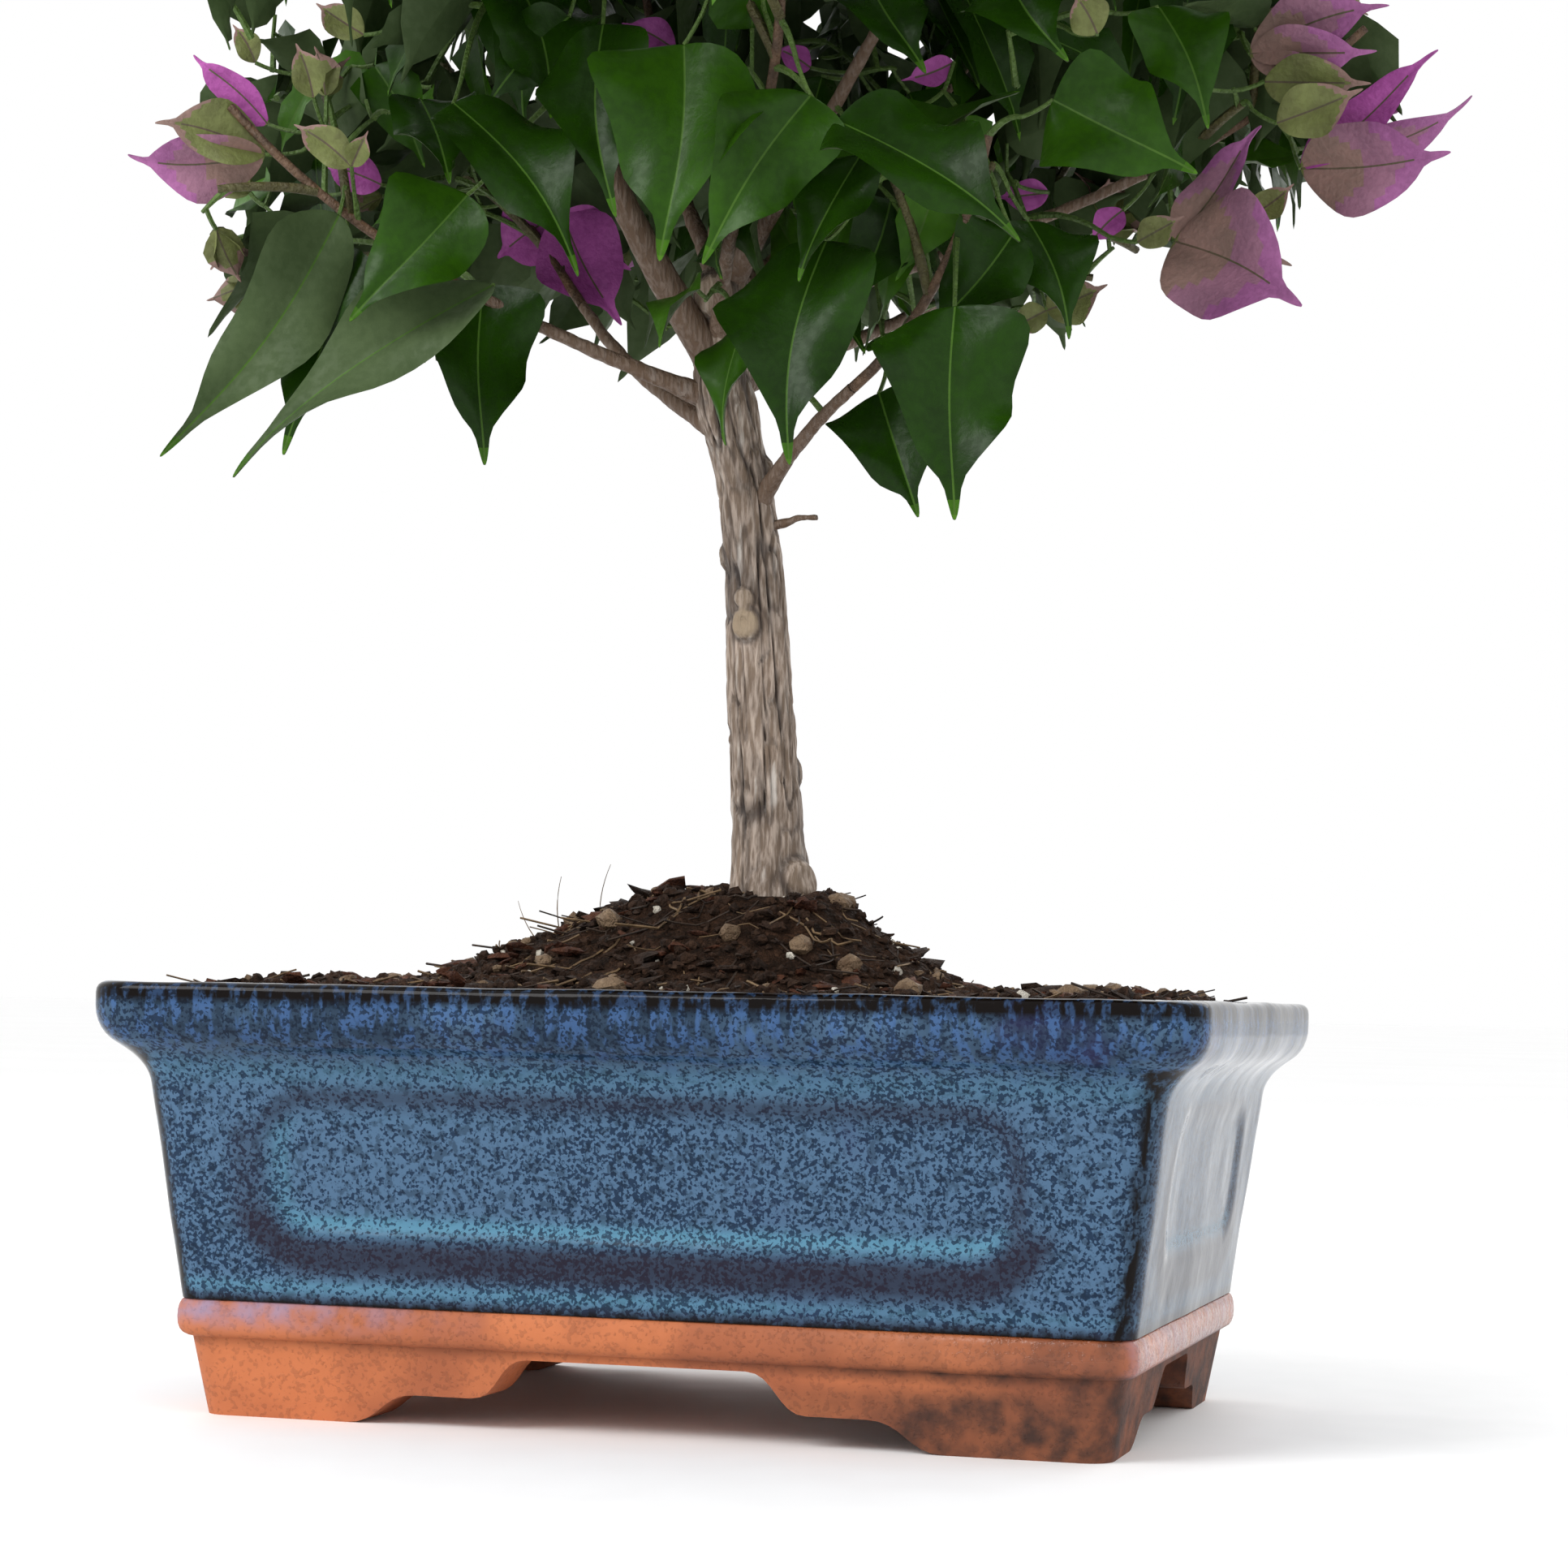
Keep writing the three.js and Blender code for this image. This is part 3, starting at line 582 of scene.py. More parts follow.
class Effects:
    """The node groups that several finishes share."""

    def __init__(self) -> None:
        """Builds each group once."""
        self.mottle = self.make_mottle()
        self.speckle = self.make_speckle()

    @staticmethod
    def start(name: str, **numbers: float) -> tuple[Sheet, dict]:
        """Starts a group that reads a place and some numbers, and puts out a mask.

        Args:
            name: Name of the group.
            numbers: Name and first value of each number.

        Returns:
            The group's sheet, and its input sockets by name.
        """
        tree = bpy.data.node_groups.new(name, "ShaderNodeTree")
        tree.interface.new_socket("Vector", in_out="INPUT", socket_type="NodeSocketVector")
        for label, value in numbers.items():
            socket = tree.interface.new_socket(label, in_out="INPUT", socket_type="NodeSocketFloat")
            socket.default_value = value
        tree.interface.new_socket("Mask", in_out="OUTPUT", socket_type="NodeSocketFloat")
        sheet = Sheet(tree)
        entry = sheet.add("NodeGroupInput")
        return sheet, {label: entry.outputs[label] for label in ("Vector", *numbers)}

    @staticmethod
    def make_mottle() -> bpy.types.NodeTree:
        """Builds soft patches: a mask that is 1 inside the patches.

        Returns:
            The group.
        """
        sheet, at = Effects.start("Soft patches", Scale=100, Low=0.4, High=0.6)
        noise = sheet.add("ShaderNodeTexNoise", {"Vector": at["Vector"], "Scale": at["Scale"], "Detail": 4.0})
        sheet.add("NodeGroupOutput", {"Mask": sheet.ramp(noise.outputs["Fac"], at["Low"], at["High"])})
        return sheet.tree

    @staticmethod
    def make_speckle() -> bpy.types.NodeTree:
        """Builds fine specks: a mask that is 1 on the specks.

        Returns:
            The group.
        """
        sheet, at = Effects.start("Fine specks", Scale=900, Cover=0.5)
        spread = {"Vector": at["Vector"], "Scale": at["Scale"]}
        cells = sheet.add("ShaderNodeTexVoronoi", spread)
        deal = sheet.add("ShaderNodeSeparateColor", {"Color": cells.outputs["Color"]})
        noise = sheet.add("ShaderNodeTexNoise", {**spread, "Detail": 2.0})
        uneven = sheet.add("ShaderNodeMath", {0: deal.outputs[0], 1: noise.outputs["Fac"]}, operation="ADD")
        half = sheet.add("ShaderNodeMath", {0: uneven.outputs[0], 1: 0.5}, operation="MULTIPLY")
        above = sheet.add("ShaderNodeMath", {0: at["Cover"], 1: 0.12}, operation="ADD")
        sheet.add("NodeGroupOutput", {"Mask": sheet.ramp(half.outputs[0], above.outputs[0], at["Cover"])})
        return sheet.tree


class Coat(Sheet):
    """The sheet of one material, with the shared effects and the places on the object."""

    def __init__(self, tree: bpy.types.NodeTree, effects: Effects) -> None:
        """Takes the tree and the effects, and reads the places.

        Args:
            tree: The material's tree.
            effects: The shared effects.
        """
        super().__init__(tree)
        self.effects = effects
        self.place = self.add("ShaderNodeTexCoord").outputs["Object"]

    def patches(self, scale: float, low: float, high: float, drawn: float = 1) -> Socket:
        """Places soft patches.

        Args:
            scale: Patches to a metre, about.
            low: Noise value where a patch starts.
            high: Noise value where it is full.
            drawn: Share of their scale along Z, by which they are drawn out.

        Returns:
            Their mask.
        """
        place = self.place
        if drawn != 1:
            place = self.add("ShaderNodeMapping", {"Vector": place, "Scale": (1, 1, drawn)}).outputs[0]
        inputs = {"Vector": place, "Scale": scale, "Low": low, "High": high}
        return self.add("ShaderNodeGroup", inputs, node_tree=self.effects.mottle).outputs["Mask"]

    def specks(self, scale: float, cover: object) -> Socket:
        """Places fine specks, so many to a metre, that cover a share of the surface."""
        inputs = {"Vector": self.place, "Scale": scale, "Cover": cover}
        return self.add("ShaderNodeGroup", inputs, node_tree=self.effects.speckle).outputs["Mask"]


@dataclass(frozen=True)
class Finish:
    """What every finish has: a name, the shared effects, a relief in metres and a gloss."""

    name: str
    effects: Effects
    _: KW_ONLY
    depth: float = 0.0002
    relief: float = 0.3
    gloss: float = 0.5

    def layers(self, sheet: Coat) -> Layers:
        """Gives the finish's colour, roughness and height; each finish has its own."""
        raise NotImplementedError

    def make(self) -> Material:
        """Builds the material.

        Returns:
            The material.
        """
        material = bpy.data.materials.new(self.name)
        material.use_nodes = True
        sheet = Coat(material.node_tree, self.effects)
        colour, rough, height = self.layers(sheet)
        relief = {"Height": height, "Distance": self.depth, "Strength": self.relief}
        bump = sheet.add("ShaderNodeBump", relief)
        sheet.feed(material.node_tree.nodes["Principled BSDF"], {
            "Base Color": colour, "Roughness": rough, "Specular IOR Level": self.gloss,
            "Normal": bump.outputs["Normal"],
        })
        return material


@dataclass(frozen=True, kw_only=True)
class GlazeFinish(Finish):
    """Glossy speckled blue glaze, brown-black where it runs thin, light blue where it pools, with painted
    light on the panels' lit edges and painted shade in bands.
    """

    light: str = "4b6783"
    middle: str = "1e3148"
    deep: str = "0f1c2b"
    violet: str = "2b2850"
    shadow: str = "221f2d"
    # Light teal of pooling glaze, also painted light on the panels' lower and left inner edges.
    pooled: str = "55879f"
    run: str = "40608f"
    bare: str = "0c0706"
    depth: float = 0.0008
    relief: float = 0.08
    gloss: float = 0.11

    def layers(self, sheet: Coat) -> Layers:
        """Lays the speckled ground, then painted shade, the pools with the painted light on the panels'
        edges, runs and the worn edges over it.

        Args:
            sheet: The material's sheet.

        Returns:
            Its colour, roughness and height.
        """
        thin, pool, shade, run = sheet.read("thin", "pool", "shade", "run")
        broad = sheet.patches(24, 0.3, 0.7)
        fine = sheet.specks(1900, sheet.span(broad, 0.42, 0.56))
        spots = sheet.patches(620, 0.5, 0.62)
        drips = sheet.patches(560, 0.46, 0.6, 0.3)
        washed = sheet.patches(30, 0.4, 0.6)
        violet = sheet.patches(34, 0.58, 0.74)
        stippled = sheet.span(fine, 0.15, 0.95)
        colour = sheet.mix(fine, paint(self.middle), paint(self.light))
        colour = sheet.tint(colour, self.deep, spots, 0.5)
        colour = sheet.tint(colour, self.violet, violet, 0.4)
        colour = sheet.tint(colour, self.shadow, shade, sheet.span(fine, 1.0, 0.82))
        # Pooling glaze, and painted light on the panels' lit edges.
        colour = sheet.tint(colour, self.pooled, pool, stippled)
        colour = sheet.tint(colour, self.deep, run, sheet.span(washed, 0.75, 0.15))
        colour = sheet.tint(colour, self.violet, run, violet, 0.7)
        colour = sheet.tint(colour, self.run, run, drips, 0.7, stippled)
        ragged = sheet.sum("SUBTRACT", sheet.times(thin, 1.5), sheet.times(drips, 0.45))
        colour = sheet.tint(colour, self.bare, ragged)
        dull = sheet.sum("MAXIMUM", pool, sheet.times(spots, 0.2))
        return colour, sheet.span(dull, 0.05, 0.4), sheet.patches(90, 0.25, 0.75)


@dataclass(frozen=True, kw_only=True)
class ClayFinish(Finish):
    """Unglazed fired clay, orange where it is clean, brown where it is dirty and with painted shade towards
    +X, damp in places, with a painted sheen on the +X end.
    """

    clean: str = "c17044"
    fired: str = "a25b39"
    # Dark brown of dirty clay, also painted shade on the side away from the light.
    dirt_and_shade: str = "38221a"
    # Lavender of glaze smudged onto the flange, also a painted sheen on its +X end.
    smear: str = "8d83a0"
    depth: float = 0.0005
    relief: float = 0.55
    gloss: float = 0.4

    def layers(self, sheet: Coat) -> Layers:
        """Lays stains with painted shade, and glaze smudged on with a painted sheen, over the clay.

        Args:
            sheet: The material's sheet.

        Returns:
            Its colour, roughness and height.
        """
        soiled, damp, smeared = sheet.read("soiled", "damp", "smeared")
        broad = sheet.patches(45, 0.35, 0.65)
        grit = sheet.specks(1500, 0.3)
        patchy = sheet.patches(210, 0.26, 0.74)
        colour = sheet.mix(broad, paint(self.clean), paint(self.fired))
        # Dirty clay and painted shade, darkest towards +X.
        colour = sheet.tint(colour, self.dirt_and_shade, soiled, sheet.span(patchy, 0.55, 1.0))
        colour = sheet.tint(colour, self.dirt_and_shade, grit, 0.2)
        # Glaze smudge, and a painted sheen on the +X end of the flange.
        colour = sheet.tint(colour, self.smear, smeared, patchy)
        height = sheet.sum("ADD", sheet.times(grit, 0.5), sheet.times(patchy, 0.5))
        return colour, sheet.span(damp, 0.7, 0.18), height


@dataclass(frozen=True, kw_only=True)
class BarkFinish(Finish):
    """Grey-brown bark, dark down in its fissures and pale on its ridges."""

    ridge: str = "b8a697"
    flank: str = "7c6958"
    fissure: str = "2c211b"
    streak: str = "e0d9d1"
    scar: str = "94826b"
    # Darker brown of young bark, also painted shade of the crown on the boughs.
    young: str = "5a4330"
    depth: float = 0.0004
    relief: float = 0.6

    def layers(self, sheet: Coat) -> Layers:
        """Lays streaks, the darker bark of the boughs with its painted shade, fissures and bare scars over
        the ridged bark.

        Args:
            sheet: The material's sheet.

        Returns:
            Its colour, roughness and height.
        """
        depth, bare, young = sheet.read("depth", "bare", "young")
        fine = sheet.patches(1300, 0.36, 0.66, 0.16)
        pale = sheet.patches(420, 0.58, 0.72, 0.16)
        tone = sheet.patches(60, 0.35, 0.65)
        colour = sheet.mix(fine, paint(self.flank), paint(self.ridge))
        colour = sheet.tint(colour, self.fissure, tone, 0.35)
        colour = sheet.tint(colour, self.streak, pale, 0.6)
        # Young bark on the boughs, darkened further as painted shade under the crown.
        colour = sheet.tint(colour, self.young, young, 0.95)
        colour = sheet.tint(colour, self.fissure, depth)
        colour = sheet.tint(colour, self.scar, bare)
        return colour, sheet.span(fine, 0.75, 0.5), fine


@dataclass(frozen=True)
class MottledFinish(Finish):
    """Two near colours in soft patches with a fine grain, for leaves, bracts, twigs and soil."""

    light: str
    dark: str
    patch: float
    grain: float
    rough: Pair

    def layers(self, sheet: Coat) -> Layers:
        """Lays the patches and the grain.

        Args:
            sheet: The material's sheet.

        Returns:
            Its colour, roughness and height.
        """
        broad = sheet.patches(self.patch, 0.32, 0.68)
        fine = sheet.patches(self.grain, 0.35, 0.65)
        share = sheet.sum("ADD", sheet.times(broad, 0.7), sheet.times(fine, 0.3))
        colour = sheet.mix(share, paint(self.light), paint(self.dark))
        return colour, sheet.span(fine, *self.rough), fine

    @classmethod
    def several(cls, effects: Effects, looks: Sequence[tuple], patch: float, grain: float,
                **relief: float) -> list[Material]:
        """Builds materials that differ in name, colours and roughness only.

        Args:
            effects: The shared effects.
            looks: Name, light colour, dark colour and roughness of each.
            patch: Patches to a metre, about.
            grain: Grains to a metre, about.
            relief: Their depth, relief and gloss.

        Returns:
            The materials.
        """
        return [cls(name, effects, light, dark, patch, grain, rough, **relief).make()
                for name, light, dark, rough in looks]


# Pot


@dataclass
class PotSizes:
    """Sizes of the pot; insets count inwards from the outer edge of the rim."""

    length: float = 200
    width: float = 140
    height: float = 77
    rim_corner: float = 9
    corner_shrink: float = 0.25
    rim_width: float = 11
    rim_round: float = 2
    lip_height: float = 4.2
    lip_pull: float = 2.2
    cove_height: float = 66
    cove_inset: float = 3.2
    cove_rise: float = 4
    neck_height: float = 59
    neck_inset: float = 8.1
    glaze_line: float = 20.8
    glaze_inset: float = 13.4
    wall: float = 7
    floor: float = 6

    def corner(self, inset: float) -> float:
        """Gives the corner radius of the section at an inset."""
        return self.rim_corner - self.corner_shrink * inset

    def half(self, inset: float) -> Array:
        """Gives half the length and half the width at an inset."""
        return np.array([self.length / 2 - inset, self.width / 2 - inset])

    def wall_inset(self, z: Array) -> Array:
        """Gives the inset of the outer wall at a height."""
        share = (z - self.glaze_line) / (self.neck_height - self.glaze_line)
        return self.glaze_inset + (self.neck_inset - self.glaze_inset) * share

    def loft(self, name: str, stations: Sequence[Pair], steps: int) -> Bench:
        """Draws up a body of rounded box sections, ring by ring.

        Args:
            name: Name of the piece.
            stations: Inset and height of each section, in order.
            steps: Steps round each corner.

        Returns:
            The piece.
        """
        inset, z = stations[0]
        bpy.ops.mesh.primitive_plane_add(size=2, location=(0, 0, z))
        bpy.context.object.scale = (*self.half(inset), 1)
        piece = Bench.added(name)
        piece.pick(Pick.CORNERS)
        corner = self.corner(inset)
        bpy.ops.mesh.bevel(affect="VERTICES", offset_type="ABSOLUTE", offset=corner, segments=steps)
        bpy.ops.mesh.select_all(action="SELECT")
        ring = piece.picked()
        for (inset, z), (inset_next, z_next) in zip(stations, stations[1:]):
            piece.pick(Pick.CORNERS, ring)
            bpy.ops.mesh.extrude_region_move(TRANSFORM_OT_translate={"value": (0, 0, z_next - z)})
            ring = piece.picked()
            places = piece.corners()
            corner = self.corner(inset)
            corner_next = self.corner(inset_next)
            centre = self.half(inset) - corner
            shift = self.half(inset_next) - corner_next - centre
            grow = corner_next / corner
            for sx, sy in ((1, 1), (-1, 1), (-1, -1), (1, -1)):
                chosen = ring & (places[:, 0] * sx > 0) & (places[:, 1] * sy > 0)
                piece.pick(Pick.CORNERS, chosen)
                middle = (centre[0] * sx, centre[1] * sy, z_next)
                bpy.ops.transform.resize(value=(grow, grow, 1), center_override=middle)
                bpy.ops.transform.translate(value=(shift[0] * sx, shift[1] * sy, 0))
                bpy.ops.object.mode_set(mode="OBJECT")
        piece.outward()
        return piece


def bowed(start: Pair, pull: Pair, end: Pair,
          steps: int) -> list[Pair]:
    """Gives the points, after its start, of a line that is pulled to one point between its ends."""
    line = Bow(np.array(start, float), np.array(pull, float), np.array(end, float))
    return [tuple(line.point(i / steps)) for i in range(1, steps + 1)]


@dataclass
class PotBody:
    """The glazed pot with a sunk panel in each wall."""

    sizes: PotSizes
    finish: Finish
    panel_end: float = 31
    panel_bottom: float = 31.5
    panel_top: float = 58.5
    panel_corner: float = 10
    panel_depth: float = 1.8
    panel_slope: Pair = (0.6, -5)
    end_share: float = 0.45
    end_edge: float = 1.5
    lip_band: Pair = (75.8, 1.8)
    lip_inset: float = 3.2
    bare_foot: float = 1.6
    arris_inset: float = 7
    arris_fade: Pair = (2.2, 5.2)
    cove_pool: Pair = (62, 2.5)
    foot_pool: Pair = (23.7, 1.1)
    foot_pool_fade: Pair = (-10, 60)
    cove_shade: Pair = (68.5, 1.6)
    foot_shade: Pair = (22.6, 21.4)
    run_fade: Pair = (60, 70)
    run_inset: float = 9
    ledge_band: Pair = (-3.6, 1.5)
    edge_band: Pair = (-1, 1.8)
    low_fade: Pair = (40, 35)
    high_fade: Pair = (50, 55)
    waver: float = 0.7
    waver_size: float = 26
    cuts: tuple = ((0, 40, 99), (1, 40, 69), (2, 35, 35))

    def stations(self) -> list[Pair]:
        """Lists the pot's sections from its underside over the rim to its floor inside.

        Returns:
            Inset and height of each.
        """
        s = self.sizes
        line = [(s.glaze_inset, s.glaze_line), (s.neck_inset, s.neck_height)]
        cove_top = s.neck_height + s.cove_rise
        line += bowed(line[-1], (s.wall_inset(cove_top), cove_top), (s.cove_inset, s.cove_height), 9)
        line += bowed(line[-1], (0, s.cove_height + s.lip_pull), (0, s.height - s.lip_height), 6)
        line += [(0, s.height - s.rim_round)]
        line += bowed(line[-1], (0, s.height), (s.rim_round, s.height), 5)
        line += [(s.rim_width / 2, s.height), (s.rim_width - s.rim_round, s.height)]
        line += bowed(line[-1], (s.rim_width, s.height), (s.rim_width, s.height - s.rim_round), 4)
        line += [(s.neck_inset + s.wall, s.neck_height), (s.glaze_inset + s.wall, s.glaze_line + s.floor)]
        return line

    def panel_edge(self, along: Array, z: Array, half: float) -> Array:
        """Measures how far points of a wall lie outside its panel's rounded outline.

        Args:
            along: Places along the wall from its middle.
            z: Heights.
            half: Half the panel's length.

        Returns:
            Distances, negative inside the panel.
        """
        middle = (self.panel_top + self.panel_bottom) / 2
        tall = (self.panel_top - self.panel_bottom) / 2
        x = np.abs(along) - (half - self.panel_corner)
        y = np.abs(z - middle) - (tall - self.panel_corner)
        outside = np.hypot(np.maximum(x, 0), np.maximum(y, 0))
        return outside + np.minimum(np.maximum(x, y), 0) - self.panel_corner

    def walls(self, places: Array) -> Iterator[tuple[Array, Array, Array, int, float]]:
        """Walks round the four walls.

        Args:
            places: Places of the pot's vertices.

        Yields:
            For each wall: which vertices are on it, their distances from the panel's edge, their
            places along it, the axis square to it and the side of that axis.
        """
        s = self.sizes
        z = places[:, 2]
        on_height = (z > s.glaze_line - 0.5) & (z < s.neck_height + s.cove_rise)
        for axis in (1, 0):
            reach = s.half(0)[axis] - s.wall_inset(z)
            along = places[:, 1 - axis]
            edge = self.panel_edge(along, z, s.half(self.panel_end)[1 - axis])
            for side in (-1.0, 1.0):
                on = on_height & (places[:, axis] * side > reach - 1)
                yield on, edge, along, axis, side

    def masks(self, piece: Bench, places: Array) -> None:
        """Marks where the glaze is thin, where it pools or runs down in streaks, and where light and shade
        are painted on it.

        Args:
            piece: The pot.
            places: Places of its vertices before they wavered.
        """
        s = self.sizes
        x, y, z = places.T
        half_x, half_y = s.half(0)
        inset = np.minimum(half_x - np.abs(x), half_y - np.abs(y))
        past_x = np.abs(x) - (half_x - s.wall_inset(z))
        past_y = np.abs(y) - (half_y - s.wall_inset(z))
        lip = hump(z, *self.lip_band) * (inset < self.lip_inset)
        foot = 0.7 * smooth(s.glaze_line + self.bare_foot, s.glaze_line, z)
        arris = smooth(*self.arris_fade, np.minimum(past_x, past_y) + self.arris_inset) * (z < s.cove_height)
        pool = 0.7 * hump(z, *self.foot_pool) * (1 - 0.6 * smooth(*self.foot_pool_fade, x))
        pool += 0.3 * hump(z, *self.cove_pool)
        pool *= np.where(past_x > -self.end_edge, self.end_share, 1)
        shade = 0.35 * hump(z, *self.cove_shade) + 0.75 * smooth(*self.foot_shade, z)
        run = smooth(*self.run_fade, z) * (inset < self.run_inset)
        for on, edge, along, axis, side in self.walls(places):
            right = along * (-side if axis == 1 else side)
            ledge = hump(edge, *self.ledge_band)
            under = np.exp(-((edge - 2.3) / 3.7) ** 4)
            share = 1 if axis == 1 else self.end_share
            low = smooth(*self.low_fade, z)
            high = smooth(*self.high_fade, z)
            facing = smooth(20, -40, right) * (1 - high)
            # The panel's lower and left inner edges face the light: their light teal is partly pooling glaze,
            # partly painted light.
            pool += on * share * ledge * np.maximum(low, 0.6 * facing)
            # Painted shade in a band below each panel, and over the whole +X end wall.
            shade += on * under * (low + 0.5 * facing * (1 - low)) + 0.45 * on * (axis == 0 and side > 0)
            # Painted shade along each panel's top and right edges, which face away from the light.
            turned = np.maximum(high, smooth(10, 40, right) * (1 - low))
            shade += on * 0.7 * share * hump(edge, *self.edge_band) * turned
        piece.mark(thin=lip + foot + 0.75 * arris, pool=pool, shade=shade, run=run)

    def build(self) -> None:
        """Models and dresses the pot."""
        piece = self.sizes.loft("glazed_pot", self.stations(), 8)
        piece.divide(*self.cuts)
        places = piece.corners()
        sunk = places.copy()
        low, high = self.panel_slope
        for on, edge, _, axis, side in self.walls(places):
            depth = self.panel_depth * (1 if axis == 1 else self.end_share)
            sunk[:, axis] -= on * side * depth * smooth(low, high, edge)
        piece.move(sunk)
        self.masks(piece, places)
        piece.waver("glaze_waver", self.waver_size, self.waver)
        flat = piece.corners()
        under = places[:, 2] < self.sizes.glaze_line + 0.1
        flat[under, 2] = self.sizes.glaze_line
        piece.move(flat)
        piece.finish("glaze", ["pot"], 50, self.finish.make())


@dataclass
class PotFoot:
    """The unglazed foot: a rounded flange over four cloud feet."""

    sizes: PotSizes
    finish: Finish
    flange_inset: float = 12.7
    flange_lip: float = 0.8
    flange_bottom: float = 14
    foot_inset: float = 17.6
    foot_top_inset: float = 15
    thickness: float = 12
    arch_height: float = 12.6
    step_height: float = 5.4
    runs: tuple[float, float, float, float] = (28, 13.5, 10.5, 10.5)
    end_scale: float = 0.66
    worn: float = 0.8
    cuts: tuple = ((0, 40, 59), (1, 40, 41), (2, 12, 5))

    def stations(self) -> list[Pair]:
        """Lists the foot's sections from the hollow under it to the top of the flange.

        Returns:
            Inset and height of each.
        """
        line_height = self.sizes.glaze_line
        top = (self.sizes.glaze_inset + self.flange_lip, line_height)
        belly = (self.flange_inset, (self.flange_bottom + line_height) / 2)
        outer = [(self.foot_inset, 0), (self.foot_top_inset, self.flange_bottom)]
        line = [(inset + self.thickness, z) for inset, z in reversed(outer)] + outer
        line += bowed(line[-1], (self.flange_inset, self.flange_bottom), belly, 5)
        line += bowed(belly, (self.flange_inset, line_height), top, 5)
        return line

    def arch(self, half: float, scale: float, turn: float) -> Bench:
        """Makes the cutter of the cloud-shaped arch between two feet.

        Args:
            half: Half the length of the side.
            scale: Size of the feet along this side.
            turn: Turn of the cutter about the vertical, in radians.

        Returns:
            The cutter.
        """
        marks = half - np.cumsum(np.array(self.runs) * scale)
        heights = [0.0, self.step_height, self.step_height, self.arch_height]
        right = [(float(x), z) for x, z in zip(marks, heights)]
        left = [(-x, z) for x, z in reversed(right)]
        outline = [(right[0][0], -1.0), *right, *left, (left[-1][0], -1.0)]
        bpy.ops.curve.primitive_bezier_curve_add()
        cutter = bpy.context.object
        curve = cutter.data
        curve.dimensions = "2D"
        curve.fill_mode = "BOTH"
        curve.extrude = self.sizes.length
        curve.resolution_u = 8
        spline = curve.splines[0]
        spline.bezier_points.add(len(outline) - 2)
        spline.use_cyclic_u = True
        for point, (x, z) in zip(spline.bezier_points, outline):
            point.handle_left_type = point.handle_right_type = "FREE"
            point.co = point.handle_left = point.handle_right = (x, z, 0)
        for first in (1, 3, 5, 7):
            start, end = spline.bezier_points[first], spline.bezier_points[first + 1]
            halfway = (start.co.x + end.co.x) / 2
            start.handle_right = (halfway, start.co.y, 0)
            end.handle_left = (halfway, end.co.y, 0)
        cutter.rotation_euler = (math.pi / 2, 0, turn)
        Bench(cutter).take()
        bpy.ops.object.convert(target="MESH")
        piece = Bench.added("foot_arch")
        piece.pick(Pick.CORNERS)
        bpy.ops.mesh.remove_doubles(threshold=0.001)
        piece.outward()
        return piece

    def masks(self, piece: Bench) -> None:
        """Marks dirty places with painted shade, damp places, and glaze smudged onto the clay with a painted
        sheen on the +X end.

        Args:
            piece: The foot.
        """
        x, y, z = piece.corners().T
        low = smooth(12, 2, z)
        # The +X end of the flange, where a painted sheen lies and the clay is kept lighter.
        end = smooth(84, 87, x) * smooth(13.5, 15.5, z)
        # Darker towards +X and just under the flange: partly dirty clay, partly painted shade on the side
        # away from the light.
        soiled = 0.85 * smooth(0, 75, x) + 0.3 * smooth(78, 84, x) + 0.2 * low * smooth(0, 60, x)
        soiled += 0.5 * smooth(-20, 60, y) + 0.3 * hump(z, self.flange_bottom, 1.2)
        soiled *= 1.15 - 0.6 * smooth(13.5, 15, z)
        soiled -= 0.5 * hump(z, 11.5, 1.6) * smooth(84, 70, x) + 0.8 * end
        damp = hump(x, 72, 30) * smooth(-46, -54, y) * smooth(14.5, 18, z) + end
        # Glaze smudged on the front left of the flange; the same tint on the +X end is a painted sheen.
        smeared = smooth(-20, -75, x) * smooth(-40, -52, y) * smooth(14.5, 19, z) + 0.5 * end
        piece.mark(soiled=1.15 * soiled, damp=damp, smeared=0.8 * smeared)

    def build(self) -> None:
        """Models and dresses the foot."""
        piece = self.sizes.loft("clay_foot", self.stations(), 6)
        piece.divide(*self.cuts)
        piece.cut(self.arch(self.sizes.length / 2 - self.foot_inset, 1, 0))
        piece.cut(self.arch(self.sizes.width / 2 - self.foot_inset, self.end_scale, math.pi / 2))
        piece.modify("BEVEL", width=self.worn, segments=2, limit_method="ANGLE",
                     angle_limit=math.radians(38))
        self.masks(piece)
        piece.finish("clay", ["pot_foot"], 40, self.finish.make())


# Soil


